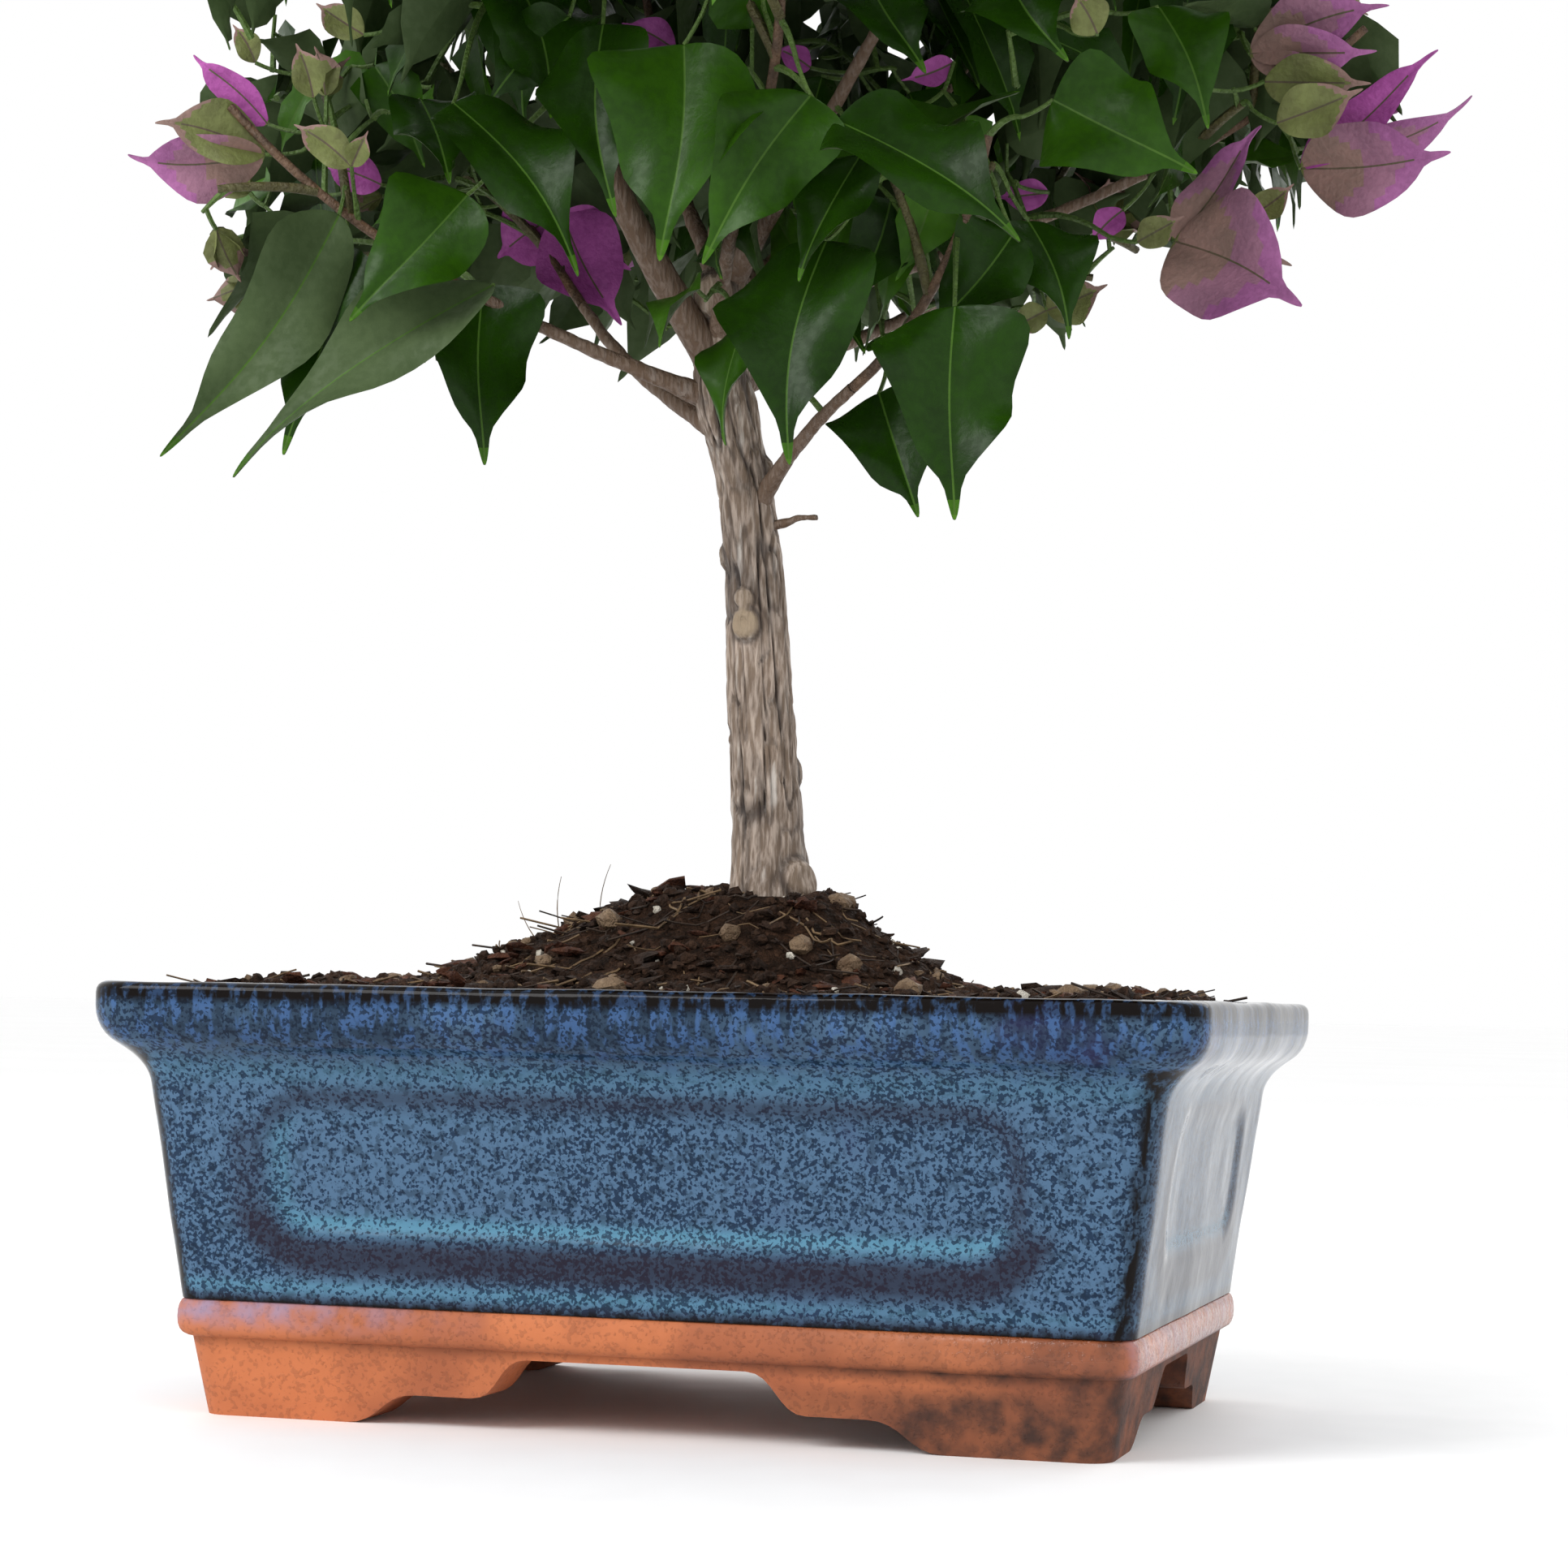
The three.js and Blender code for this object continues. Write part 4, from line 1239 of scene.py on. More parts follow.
@dataclass
class Soil:
    """The soil with the root ball's mound, and what lies on it."""

    sizes: PotSizes
    effects: Effects
    edge: float = 74.4
    level: float = 76.7
    mound: float = 21.6
    spread_left: float = 83
    spread_right: float = 46
    spread_across: float = 44
    ground: float = 95.1
    foot: Pair = (6.3, 2.0)
    gap: float = 0.35
    skirt: float = 11
    taper: tuple[float, float, float] = (0.955, 0.94, 1)
    crest: float = 1.3
    crest_out: float = -15
    crest_spread: Pair = (9, 12)
    trunk_room: float = 9.5
    fibre_count: int = 680
    fibre_steps: int = 7
    straws: tuple = ((-34, -2, 70), (-28, 3, 82), (-39, 4, 35))
    seed: int = 515
    rough: Grain = field(default_factory=lambda: Grain(71))

    def border(self, places: Array) -> Array:
        """Measures how far inside the rim's inner edge points lie.

        Args:
            places: Points, at least X and Y of each.

        Returns:
            Distances, negative outside.
        """
        inset = self.sizes.rim_width + self.gap
        corner = self.sizes.corner(inset)
        off = np.abs(places[:, :2]) - (self.sizes.half(inset) - corner)
        outside = np.hypot(*np.maximum(off, 0).T)
        return corner - outside - np.minimum(off.max(1), 0)

    def height(self, places: Array) -> Array:
        """Works out the height of the soil's face.

        Args:
            places: Points, at least X and Y of each.

        Returns:
            Heights.
        """
        x = places[:, 0]
        y = places[:, 1]
        dx = x - self.foot[0]
        dy = y - self.foot[1]
        along = dx / np.where(dx < 0, self.spread_left, self.spread_right)
        out = np.minimum(1, np.hypot(along, dy / self.spread_across))
        face = np.minimum(self.level + self.mound * np.cos(out * math.pi / 2) ** 2, self.ground)
        along_spread, across_spread = self.crest_spread
        crest = self.crest * hump(dx, self.crest_out, along_spread) * hump(dy, 0, across_spread)
        lumps = 2.2 * (self.rough.at(x / 9 + 20, y / 9 + 20) - 0.5)
        crumbs = 1.3 * (self.rough.at(x / 2.6 + 40, y / 2.6 + 40) - 0.5)
        seat = smooth(7.5, 13, np.hypot(dx, dy))
        rim = smooth(0, 5, self.border(places))
        return self.edge + (face + seat * (crest + lumps + crumbs) - self.edge) * rim

    def bed(self) -> None:
        """Models the soil's bed."""
        half = self.sizes.half(self.sizes.rim_width + self.gap)
        bpy.ops.mesh.primitive_grid_add(x_subdivisions=170, y_subdivisions=116, size=2)
        bpy.context.object.scale = (*half, 1)
        piece = Bench.added("soil_bed")
        places = piece.corners()
        corner = self.sizes.corner(self.sizes.rim_width + self.gap)
        core = np.clip(places[:, :2], -(half - corner), half - corner)
        off = places[:, :2] - core
        far = np.maximum(np.hypot(*off.T) / corner, 1)
        places[:, :2] = core + off / far[:, None]
        places[:, 2] = self.height(places)
        piece.move(places)
        piece.take()
        bpy.ops.object.mode_set(mode="EDIT")
        bpy.ops.mesh.select_mode(type=Pick.EDGES.value)
        bpy.ops.mesh.select_all(action="DESELECT")
        bpy.ops.mesh.select_non_manifold()
        bpy.ops.mesh.extrude_region_move(TRANSFORM_OT_translate={"value": (0, 0, -self.skirt)})
        bpy.ops.transform.resize(value=self.taper, center_override=(0, 0, 0))
        bpy.ops.mesh.edge_face_add()
        bpy.ops.object.mode_set(mode="OBJECT")
        piece.outward()
        finish = MottledFinish("potting_soil", self.effects, "412c1f", "1b110a", 260, 1100, (0.7, 0.95),
                               depth=0.0012, relief=0.9, gloss=0.12)
        piece.finish("soil", ["soil"], 60, finish.make())

    def spots(self, deal: np.random.Generator, count: int, inset: float) -> Array:
        """Deals places on the soil, clear of the trunk.

        Args:
            deal: Source of the seeded numbers.
            count: How many places.
            inset: How far they stay inside the rim.

        Returns:
            Points on the soil's face.
        """
        half = self.sizes.half(self.sizes.rim_width)
        flat = (deal.random((count * 3, 2)) * 2 - 1) * half
        near = np.hypot(flat[:, 0] - self.foot[0], flat[:, 1] - self.foot[1])
        flat = flat[(self.border(flat) > inset) & (near > self.trunk_room)][:count]
        return np.column_stack([flat, self.height(flat)])

    @staticmethod
    def stone(deal: np.random.Generator, size: Array, uneven: float, rings: int = 4,
              sides: int = 6) -> tuple[Array, Array]:
        """Makes one small stone, crumb or chip.

        Args:
            deal: Source of the seeded numbers.
            size: Half its length, width and height.
            uneven: How uneven it is.
            rings: Rings between its poles.
            sides: Sides of each ring.

        Returns:
            Its points and faces, round the origin, turned at random.
        """
        lean = np.linspace(-math.pi / 2, math.pi / 2, rings + 2)[1:-1]
        line = np.column_stack([np.zeros(rings), np.zeros(rings), np.sin(lean)])
        points, faces = tube(line, np.cos(lean), sides)
        points[-2:, 2] = (-1, 1)
        points *= 1 + uneven * (deal.random((len(points), 1)) - 0.5)
        points *= size
        turn = deal.random() * 2 * math.pi
        tilt = (deal.random(2) - 0.5) * 0.9
        lie = Matrix.Rotation(tilt[0], 3, "X") @ Matrix.Rotation(tilt[1], 3, "Y")
        return points @ np.array(Matrix.Rotation(turn, 3, "Z") @ lie).T, faces

    def stones(self, deal: np.random.Generator) -> None:
        """Scatters crumbs, bark chips, pebbles and white grains over the bed.

        Args:
            deal: Source of the seeded numbers.
        """
        looks = [
            ("soil_crumbs", "3e2a1d", "1b1009", (0.75, 0.85)), ("bark_chips", "5c3623", "361e15", (0.6, 0.7)),
            ("pebbles", "8a745c", "5f4a38", (0.5, 0.6)), ("white_grains", "d9d3c7", "b5ad9e", (0.7, 0.8)),
            ("dark_chips", "3a291e", "20140e", (0.65, 0.75)),
        ]
        crumb, chip, pebble, grain, dark_chip = range(len(looks))
        kinds = [
            (2800, (0.6, 1.7), (1, 0.9, 0.75), 0.7, crumb, 1.5),
            (680, (1.6, 4.6), (1, 0.5, 0.22), 0.6, chip, 2),
            (95, (1.1, 3.0), (1, 0.8, 0.7), 0.35, pebble, 3),
            (90, (0.5, 1.3), (1, 0.9, 0.8), 0.5, grain, 2),
        ]
        shell = Shell()
        for count, (low, high), shape, uneven, look, inset in kinds:
            for spot in self.spots(deal, count, inset):
                size = (low + (high - low) * deal.random() ** 2) * np.array(shape)
                points, faces = self.stone(deal, size, uneven)
                dark = look == chip and deal.random() >= 0.5
                shell.add(points + spot + UP * size[2] * 0.4, faces, dark_chip if dark else look)
        finishes = MottledFinish.several(self.effects, looks, 300, 1400, depth=0.0006, relief=0.7, gloss=0.2)
        shell.piece("soil_lumps").finish("soil", [], 50, *finishes)

    def fibres(self, deal: np.random.Generator) -> None:
        """Scatters fibres over the bed and stands a few straws in it.

        Args:
            deal: Source of the seeded numbers.
        """
        shell = Shell()
        count = self.fibre_steps
        steps = np.linspace(-0.5, 0.5, count)[:, None]
        for number, spot in enumerate(self.spots(deal, self.fibre_count, 4)):
            length = 5 + 15 * deal.random() ** 2
            heading = compass(360 * deal.random(), 4 + 14 * deal.random())
            bend = np.cross(heading, UP) * length * (deal.random() - 0.5) * 0.7
            line = spot + steps * heading * length + (0.25 - steps ** 2) * 2 * bend
            line[:, 2] = np.maximum(line[:, 2], self.height(line)) + 0.15
            shell.add(*tube(line, np.full(count, 0.1 + 0.16 * deal.random()), 4), number % 2)
        for x, y, lean in self.straws:
            foot = np.array([[x, y, 0.0]])
            start = foot[0] + UP * (self.height(foot)[0] - 1)
            straw = Bow(start, start + compass(170, lean) * 6, start + compass(165, lean + 18) * 12)
            shell.add(*tube(straw.points(8), np.linspace(0.16, 0.06, 9), 4), 0)
        finishes = MottledFinish.several(self.effects, [
            ("pale_fibres", "7d6445", "4f3c27", (0.6, 0.75)),
            ("dark_fibres", "382718", "1e130d", (0.7, 0.85)),
        ], 300, 1500)
        shell.piece("soil_fibres").finish("soil", [], 50, *finishes)

    def build(self) -> None:
        """Models and dresses the soil."""
        deal = np.random.default_rng(self.seed)
        self.bed()
        self.stones(deal)
        self.fibres(deal)


# Trunk and boughs


class Line:
    """A smooth line through points, evened by the distances between them."""

    def __init__(self, marks: Sequence[Sequence[float]]) -> None:
        """Takes the points, from bottom to top.

        Args:
            marks: The points.
        """
        inner = np.array(marks, float)
        self.marks = np.concatenate([[2 * inner[0] - inner[1]], inner, [2 * inner[-1] - inner[-2]]])
        self.spans = len(inner) - 1

    def point(self, t: float) -> Array:
        """Gives the point at a share of the line.

        Args:
            t: The share.

        Returns:
            The point.
        """
        span = min(int(t * self.spans), self.spans - 1)
        s = t * self.spans - span
        a, b, c, d = self.marks[span:span + 4]
        first, second, third = (math.sqrt(np.linalg.norm(q - p)) for p, q in ((a, b), (b, c), (c, d)))
        leave = ((b - a) / first - (c - a) / (first + second) + (c - b) / second) * second
        reach = ((c - b) / second - (d - b) / (second + third) + (d - c) / third) * second
        square = 3 * (c - b) - 2 * leave - reach
        return b + leave * s + square * s ** 2 + (2 * (b - c) + leave + reach) * s ** 3

    def at_height(self, z: float) -> Array:
        """Gives the point of the line at a height.

        Args:
            z: The height.

        Returns:
            The point.
        """
        low, high = 0.0, 1.0
        for _ in range(40):
            t = (low + high) / 2
            if self.point(t)[2] < z:
                low = t
            else:
                high = t
        return np.array([*self.point(low)[:2], z])


@dataclass
class Knot:
    """A knob or scar on the trunk."""

    height: float
    azimuth: float
    radius: float
    proud: float
    bare: float


@dataclass
class Trunk:
    """The trunk, cut flat at the ground."""

    finish: Finish
    ground: float = 95.4
    sunk: float = 2.6
    marks: tuple = ((6.3, 2.0, 95.4), (3.6, 1.2, 135), (0.4, 0.2, 170), (-4.2, -1.0, 193), (-4.4, -1.1, 216))
    bottom: float = 6.5
    top: float = 5
    flare: float = 1.5
    flare_height: float = 6
    swell: float = 0.9
    swell_height: float = 189
    swell_spread: float = 7
    lobes: tuple = ((2, 0.05, 0.05), (3, 0.03, -0.08))
    knots: tuple = (
        Knot(146.5, -98, 2.5, 0.9, 1), Knot(151.2, -96, 1.7, 0.9, 0.35), Knot(98.5, -22, 3.2, 1.8, 0.1),
        Knot(119, 40, 2.2, 0.8, 0.1), Knot(176, 20, 2.4, 1.1, 0.15), Knot(160, 170, 2.1, 0.9, 0.3),
        Knot(209, -100, 3.4, 1.6, 0.4), Knot(131, 110, 1.9, 0.7, 0.2),
    )
    sides: int = 110
    rings: int = 90
    furrow: float = 0.55
    bark: Grain = field(default_factory=lambda: Grain(33))

    def __post_init__(self) -> None:
        """Draws the trunk's line."""
        self.line = Line(self.marks)

    def radius(self, z: Array) -> Array:
        """Gives the trunk's radius at a height, without its lobes.

        Args:
            z: The height.

        Returns:
            The radius.
        """
        share = (z - self.ground) / (self.marks[-1][2] - self.ground)
        taper = self.bottom + (self.top - self.bottom) * share
        flare = self.flare * np.exp(-np.maximum(z - self.ground, 0) / self.flare_height)
        return taper + flare + self.swell * hump(z, self.swell_height, self.swell_spread)

    def relief(self, angle: Array, z: Array) -> tuple[Array, Array]:
        """Works out the bark's relief.

        Args:
            angle: Angles round the trunk.
            z: Heights.

        Returns:
            How far each point stands out, and how deep it lies in a fissure, from 0 to 1.
        """
        turn = np.mod(angle, 2 * math.pi) / (2 * math.pi)
        long = np.abs(2 * self.bark.at(turn * 13, z / 17 + 5, 13) - 1)
        short = np.abs(2 * self.bark.at(turn * 26, z / 8 + 31, 26) - 1)
        fine = self.bark.at(turn * 44, z / 3.2 + 11, 44)
        open_long = smooth(0.2, 0.0, long)
        open_short = smooth(0.26, 0.0, short)
        out = -self.furrow * (open_long + 0.6 * open_short) + 0.4 * (fine - 0.5)
        return out, np.clip(0.75 * open_long + 0.5 * open_short, 0, 1)

    def build(self) -> None:
        """Models and dresses the trunk."""
        foot = self.ground - self.sunk
        tall = self.marks[-1][2] - foot
        middle = (0, 0, foot + tall / 2)
        bpy.ops.mesh.primitive_cylinder_add(vertices=self.sides, radius=1, depth=tall, location=middle)
        piece = Bench.added("bark_trunk")
        piece.divide((2, tall / 2, self.rings), (2, tall / 200, 1))
        places = piece.corners()
        z = places[:, 2]
        angle = np.arctan2(places[:, 1], places[:, 0])
        uneven = 1 + sum(size * np.cos(count * angle + twist * z) for count, size, twist in self.lobes)
        out, depth = self.relief(angle, z)
        radius = self.radius(z) * uneven
        bare = np.zeros(len(z))
        for knot in self.knots:
            swing = np.mod(angle - math.radians(knot.azimuth) + math.pi, 2 * math.pi) - math.pi
            far = np.hypot(swing * radius, z - knot.height) / knot.radius
            on = smooth(1.5, 0.75, far)
            out = out * (1 - 0.7 * on) + knot.proud * on - 0.5 * knot.bare * smooth(0.7, 0.2, far)
            depth = np.maximum(depth * (1 - on), 0.8 * hump(far, 1.35, 0.22))
            bare = np.maximum(bare, knot.bare * smooth(1.15, 0.95, far))
        radius = radius + out
        levels, inverse = np.unique(z.round(4), return_inverse=True)
        centres = np.array([self.line.at_height(max(level, self.ground)) for level in levels])[inverse]
        rounded = np.sqrt(np.clip((self.marks[-1][2] + 0.6 - z) / 3.5, 0.03, 1))
        places[:, 0] = centres[:, 0] + np.cos(angle) * radius * rounded
        places[:, 1] = centres[:, 1] + np.sin(angle) * radius * rounded
        piece.move(places)
        piece.mark(depth=depth, bare=bare, young=np.zeros(len(z)))
        piece.finish("bark", ["trunk"], 60, self.finish.make())


@dataclass
class Mass:
    """A bough and the foliage mass that it carries; azimuths are degrees from +X."""

    name: str
    azimuth: float
    out: float
    height: float
    reach: float
    fork: float
    rise: float
    thick: float
    bloom: float


@dataclass
class Limbs:
    """The boughs: where each leaves the trunk and where it enters its mass."""

    trunk: Trunk
    axis: tuple = (6.3, 2.0)
    entry: float = 0.55
    taper: float = 0.62
    bend: float = 0.5
    collar: float = 0.3
    fade: float = 8
    samples: int = 14
    slim: float = 0.34
    stout: float = 3
    ridge_size: float = 2.4
    ridge_height: float = 0.5
    masses: tuple = (
        Mass("left", 203, 86, 219, 49, 189, 18, 2.5, 0.5),
        Mass("front", 282, 54, 240, 48, 200, 30, 2.5, 0.3),
        Mass("front_right", 325, 42, 205, 45, 166, 52, 2.6, 0.15),
        Mass("right", 12, 92, 242, 45, 205, 14, 2.3, 0.8),
        Mass("back_right", 62, 76, 230, 50, 192, 20, 2.6, 0.4),
        Mass("back", 112, 74, 238, 52, 201, 22, 2.6, 0.4),
        Mass("back_left", 156, 74, 230, 52, 183, 24, 2.6, 0.4),
        Mass("upper_left", 226, 66, 284, 53, 195, 48, 3.1, 0.4),
        Mass("upper_right", 322, 64, 288, 52, 211, 38, 2.4, 0.4),
        Mass("upper_back_right", 48, 66, 286, 53, 208, 40, 2.4, 0.4),
        Mass("upper_back_left", 138, 64, 288, 53, 212, 46, 2.4, 0.4),
        Mass("top", 200, 6, 318, 46, 212, 84, 2.6, 0.35),
    )
    dead_twig: tuple = (165, -8, 14, 1.05, 0.6, 0.12)

    def centre(self, mass: Mass) -> Array:
        """Gives the middle of a mass."""
        spot = compass(mass.azimuth, 0) * mass.out
        return np.array([spot[0] + self.axis[0], spot[1] + self.axis[1], mass.height])

    def bough(self, mass: Mass) -> Bow:
        """Gives the line of a mass's bough, from the middle of the trunk.

        Args:
            mass: The mass.

        Returns:
            The line.
        """
        root = self.trunk.line.at_height(mass.fork)
        centre = self.centre(mass)
        tip = root + (centre - root) * (1 - self.entry * mass.reach / np.linalg.norm(centre - root))
        pull = compass(mass.azimuth, mass.rise) * self.bend * np.linalg.norm(tip - root) + root
        return Bow(root, pull, tip)

    def radius(self, mass: Mass, t: float) -> float:
        """Gives a bough's radius at a share of its line."""
        return mass.thick * (1 + self.collar * math.exp(-self.fade * t)) * (1 - (1 - self.taper) * t)

    def spheres(self) -> tuple[Array, Array]:
        """Lists the spheres that the trunk and boughs fill.

        Returns:
            Their centres and radii.
        """
        heights = np.linspace(self.trunk.ground, self.trunk.marks[-1][2], 2 * self.samples + 1)
        centres = [self.trunk.line.at_height(z) for z in heights]
        radii = list(self.trunk.radius(heights))
        for mass in self.masses:
            bough = self.bough(mass)
            for i in range(self.samples + 1):
                centres.append(bough.point(i / self.samples))
                radii.append(self.radius(mass, i / self.samples))
        return np.array(centres), np.array(radii)

    @staticmethod
    def limb(name: str, points: Array, radii: Sequence[float]) -> Bench:
        """Draws one limb as a bent, tapering rod.

        Args:
            name: Name of the limb.
            points: Points of its line.
            radii: Radius at each point.

        Returns:
            The limb.
        """
        bpy.ops.curve.primitive_bezier_curve_add()
        rod = bpy.context.object
        curve = rod.data
        curve.dimensions = "3D"
        curve.bevel_depth = 1
        curve.bevel_resolution = 4
        curve.resolution_u = 12
        curve.use_fill_caps = True
        spline = curve.splines[0]
        spline.bezier_points.add(len(points) - 2)
        for knot, place, radius in zip(spline.bezier_points, points, radii):
            knot.co = place
            knot.radius = radius
            knot.handle_left_type = knot.handle_right_type = "AUTO"
        Bench(rod).take()
        bpy.ops.object.convert(target="MESH")
        return Bench.added(name)

    def build(self) -> None:
        """Models and dresses the boughs and the dead twig on the trunk."""
        shares = (0, 0.08, 0.2, 0.4, 0.6, 0.8, 1)
        limbs = []
        for mass in self.masses:
            bough = self.bough(mass)
            points = np.array([bough.point(t) for t in shares])
            slim = 1 - (self.slim if mass.thick < self.stout else 0) * smooth(0, 0.3, np.array(shares))
            limbs.append(self.limb(mass.name, points, slim * [self.radius(mass, t) for t in shares]))
        height, azimuth, length, root, tip, rise = self.dead_twig
        start = self.trunk.line.at_height(height)
        along = (compass(azimuth, 0) + UP * rise) * length
        line = np.array([start, start + along / 2, start + along * 0.75 + UP * 0.5, start + along])
        limbs.append(self.limb("dead_twig", line, (root, root * 0.8, tip, tip * 0.7)))
        piece = Bench.join("bark_boughs", limbs)
        piece.waver("bough_bark", self.ridge_size, self.ridge_height)
        count = len(piece.mesh.vertices)
        # The boughs take the darker young bark, partly as painted shade under the crown.
        piece.mark(depth=np.zeros(count), bare=np.zeros(count), young=np.full(count, 0.8))
        piece.finish("bark", [f"bough_{mass.name}" for mass in self.masses], 60, self.trunk.finish.make())


# Crown


ANYWHERE = -1


def seeded(seed: int) -> Callable[[], float]:
    """Makes a source of seeded numbers from 0 to 1, the same as the solids' own.

    Args:
        seed: The seed.

    Returns:
        The source.
    """
    whole = 0xFFFFFFFF
    state = seed & whole

    def draw() -> float:
        """Draws the next number.

        Returns:
            The number.
        """
        nonlocal state
        state = (state + 0x6D2B79F5) & whole
        mixed = ((state ^ (state >> 15)) * (1 | state)) & whole
        mixed = ((mixed + ((mixed ^ (mixed >> 7)) * (61 | mixed))) & whole) ^ mixed
        return ((mixed ^ (mixed >> 14)) & whole) / (whole + 1)

    return draw


class Kind(Enum):
    """What a blade is."""

    LEAF = "leaf"
    BRACT = "bract"
    BUD = "bud"


class Green(IntEnum):
    """The leaves' materials, in their order."""

    DEEP = 0
    MID = 1
    FRESH = 2
    RIB = 3
    UNDER = 4
    TIP = 5


class Petal(IntEnum):
    """The bracts' materials, in their order; the first three are also a bract's tone."""

    MAGENTA = 0
    MAUVE = 1
    OLIVE = 2
    VEIN = 3
    BLUSH = 4
    ROSE = 5


class Wood(IntEnum):
    """The twigs' materials, in their order: stems, young twigs, and shoots and stalks."""

    STEM = 0
    TWIG = 1
    SHOOT = 2


@dataclass
class Blade:
    """One leaf or bract: where it starts, how it lies and how large it is."""

    root: Array
    base: Array
    axis: Array
    face: Array
    length: float
    width: float
    kind: Kind = Kind.LEAF
    tone: int = 0
    stalk: float = 0.42

    def __post_init__(self) -> None:
        """Squares the face to the axis."""
        self.face = unit(self.face - self.axis * float(self.face @ self.axis))
        self.side = np.cross(self.axis, self.face)


@dataclass
class Branch:
    """A stem, twig or shoot."""

    curve: Bow
    length: float
    root: float
    tip: float
    wood: Wood


@dataclass
class Grown:
    """What has grown in one mass, or anywhere in the crown, and the seeded numbers that it grows by."""

    own: int = ANYWHERE
    draw: Callable[[], float] | None = None
    stems: list[Branch] = field(default_factory=list)
    blades: list[Blade] = field(default_factory=list)
    twig_spots: Array = field(default_factory=lambda: np.zeros((0, 3)))
    blade_spots: list[Array] = field(default_factory=list)

    def prune(self, steps: int = 40, touch: float = 0.6, beyond: float = 0.04) -> None:
        """Takes away shoots that carry nothing, and cuts bare twig ends back to the last thing they carry.

        Args:
            steps: Steps by which a twig is looked over.
            touch: How near a thing starts to the twig that carries it.
            beyond: Share of a twig that stays beyond the last thing.
        """
        kept = []
        for branch in reversed(self.stems):
            carried = [blade.root for blade in self.blades] + [other.curve.start for other in kept]
            gaps = branch.curve.points(steps)[:, None] - np.array(carried).reshape(-1, 3)
            held = np.flatnonzero((np.linalg.norm(gaps, axis=2) < touch).any(1))
            if branch.wood is Wood.STEM:
                kept.append(branch)
            elif len(held):
                branch.curve = branch.curve.cut(min(1.0, held[-1] / steps + beyond))
                kept.append(branch)
        self.stems = kept[::-1]


